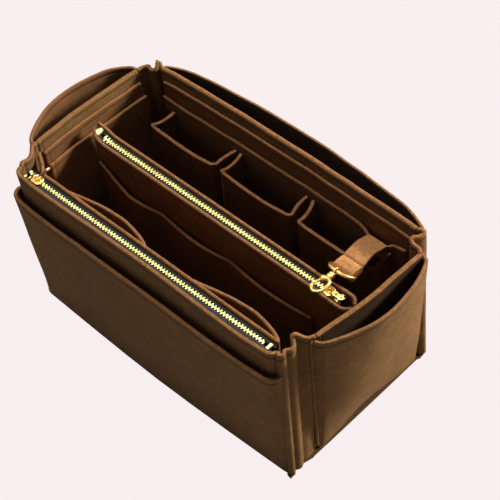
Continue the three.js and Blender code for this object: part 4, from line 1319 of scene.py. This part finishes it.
stands = ("key_strap", "strap_anchor")
strapPiece = feltSheet(
    "key_strap_felt", strapPoint, strap["size"], strap["felt"], "strap", stands, body=None, cell=1.2
)
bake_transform(strapPiece)
stitchRows.clear()
box = [((0.1, 0.05), (0.9, 0.05)), ((0.1, 0.12), (0.9, 0.12)), ((0.1, 0.05), (0.1, 0.12)), ((0.9, 0.05), (0.9, 0.12))]
for start, end in box:
    sew("anchor_stitching", strapPoint, strap["felt"], start, end, -1)
sew("strap_stitching", strapPoint, strap["felt"], (0.08, 0.655), (0.92, 0.655), -1)
makeStitches("anchor_stitching", stitchRows["anchor_stitching"])
makeStitches("strap_stitching", stitchRows["strap_stitching"], "strap")
print("strap made")

hardware = {"x": 122, "bar": (18.5, 141.5), "crest": (8.924, 149.535), "tilt": math.radians(40)}
ringPoints = [(-9.5, 0), (-5, 0), (0, 0), (5, 0), (9.5, 0), (11.4, 0.7), (12.0, 2.6)]
turns = [math.pi * i / 14 for i in range(1, 14)]
bow = [(11.9 * math.cos(a), 12.5 * (0.25 + 0.75 * math.sin(a))) for a in turns]
ringPoints += [*bow, (-12.0, 2.6), (-11.4, 0.7)]
y, z = hardware["bar"]
lean = hardware["tilt"]
ringRun = [(hardware["x"] + a, y - b * math.cos(lean), z + b * math.sin(lean)) for a, b in ringPoints]
wirePiece("d_ring_wire", ringRun, 1.45, "ring", ("d_ring",), closed=True)


def atHook(x, y, z):
    # the hook's own frame: x across it, y up from it, z along it towards its tip
    crestY, crestZ = hardware["crest"]
    return Vector((hardware["x"] + x, crestY - z, crestZ + y))


eye = [atHook(0, b, a) for a, b in arc((0, 0), 2.6, 0, 2 * math.pi, 12)[:-1]]
wirePiece("swivel_eye_ring", eye, 1.0, "swivel", ("swivel_eye",), closed=True)
pinForm = [(0, 2.9), (0.9, 2.9), (1.2, 3.4), (1.2, 4.6), (1.2, 5.9), (1.8, 6.0), (1.9, 6.4), (1.9, 8.0), (0, 8.0)]
turnedPiece("swivel_pin", pinForm, atHook, "swivel")
barrel = [(0, 8.2), (2.05, 8.2), (2.05, 5.9), (1.4, 5.7), (1.4, 4.2), (2.5, 4.25), (2.95, 4.6), (3.0, 5.2)]
barrel += [(2.7, 5.6), (2.7, 6.1), (3.0, 6.5), (3.0, 8.2), (2.75, 8.9), (2.1, 9.7), (1.5, 10.2), (0, 10.3)]
turnedPiece("hook_barrel", barrel, atHook, "hook", steps=36)
hookPlan = [(0, 9.7), (1.38, 10.29), (2.77, 10.88), (3.89, 11.74), (4.69, 13.19), (5.17, 14.98), (5.4, 16.84)]
hookPlan += [(5.43, 19.04), (5.15, 21.33), (4.43, 23.3), (3.21, 24.84), (1.62, 26.1), (0, 26.7)]
hookPlan += [(-1.55, 26.42), (-3.12, 25.57), (-4.32, 24.49), (-4.87, 23.41), (-5.13, 22.17), (-5.4, 20.92)]
wirePiece("hook_bow", [atHook(x, 0, z) for x, z in hookPlan], 1.32, "hook", ("snap_hook",))
bm = bmesh.new()
cheek = [(-4.5, 10.2), (-4.6, 12.6), (-3.9, 13.6), (-2.7, 13.5), (-1.2, 12.0), (1.0, 10.9), (1.0, 9.8), (-2.0, 9.7)]
for low, high in ((0.95, 1.6), (-1.6, -0.95)):
    plate(bm, cheek, low, high, 0.25, lambda x, y, z: atHook(x, z, y))
asPiece(bm, "hook_cheeks", "gold", "hook")
gateRun = [(-3.35, 12.6), (-3.75, 14.6), (-4.25, 16.8), (-4.8, 18.9), (-5.2, 20.1)]
wirePiece("gate_bar", [atHook(x, 0, z) for x, z in gateRun], 0.86, "gate", ("hook_gate",))
gatePin = [(0, -1.9), (0.7, -1.9), (0.95, -1.7), (0.95, 1.7), (0.7, 1.9), (0, 1.9)]
pinX, pinY = gateRun[0]
turnedPiece("gate_pin", gatePin, lambda x, y, z: atHook(pinX + x, z, pinY + y), "gate", steps=18)
print("hardware made")

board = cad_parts["base_board"]
board.data.materials.clear()
board.data.materials.append(materials["board"])
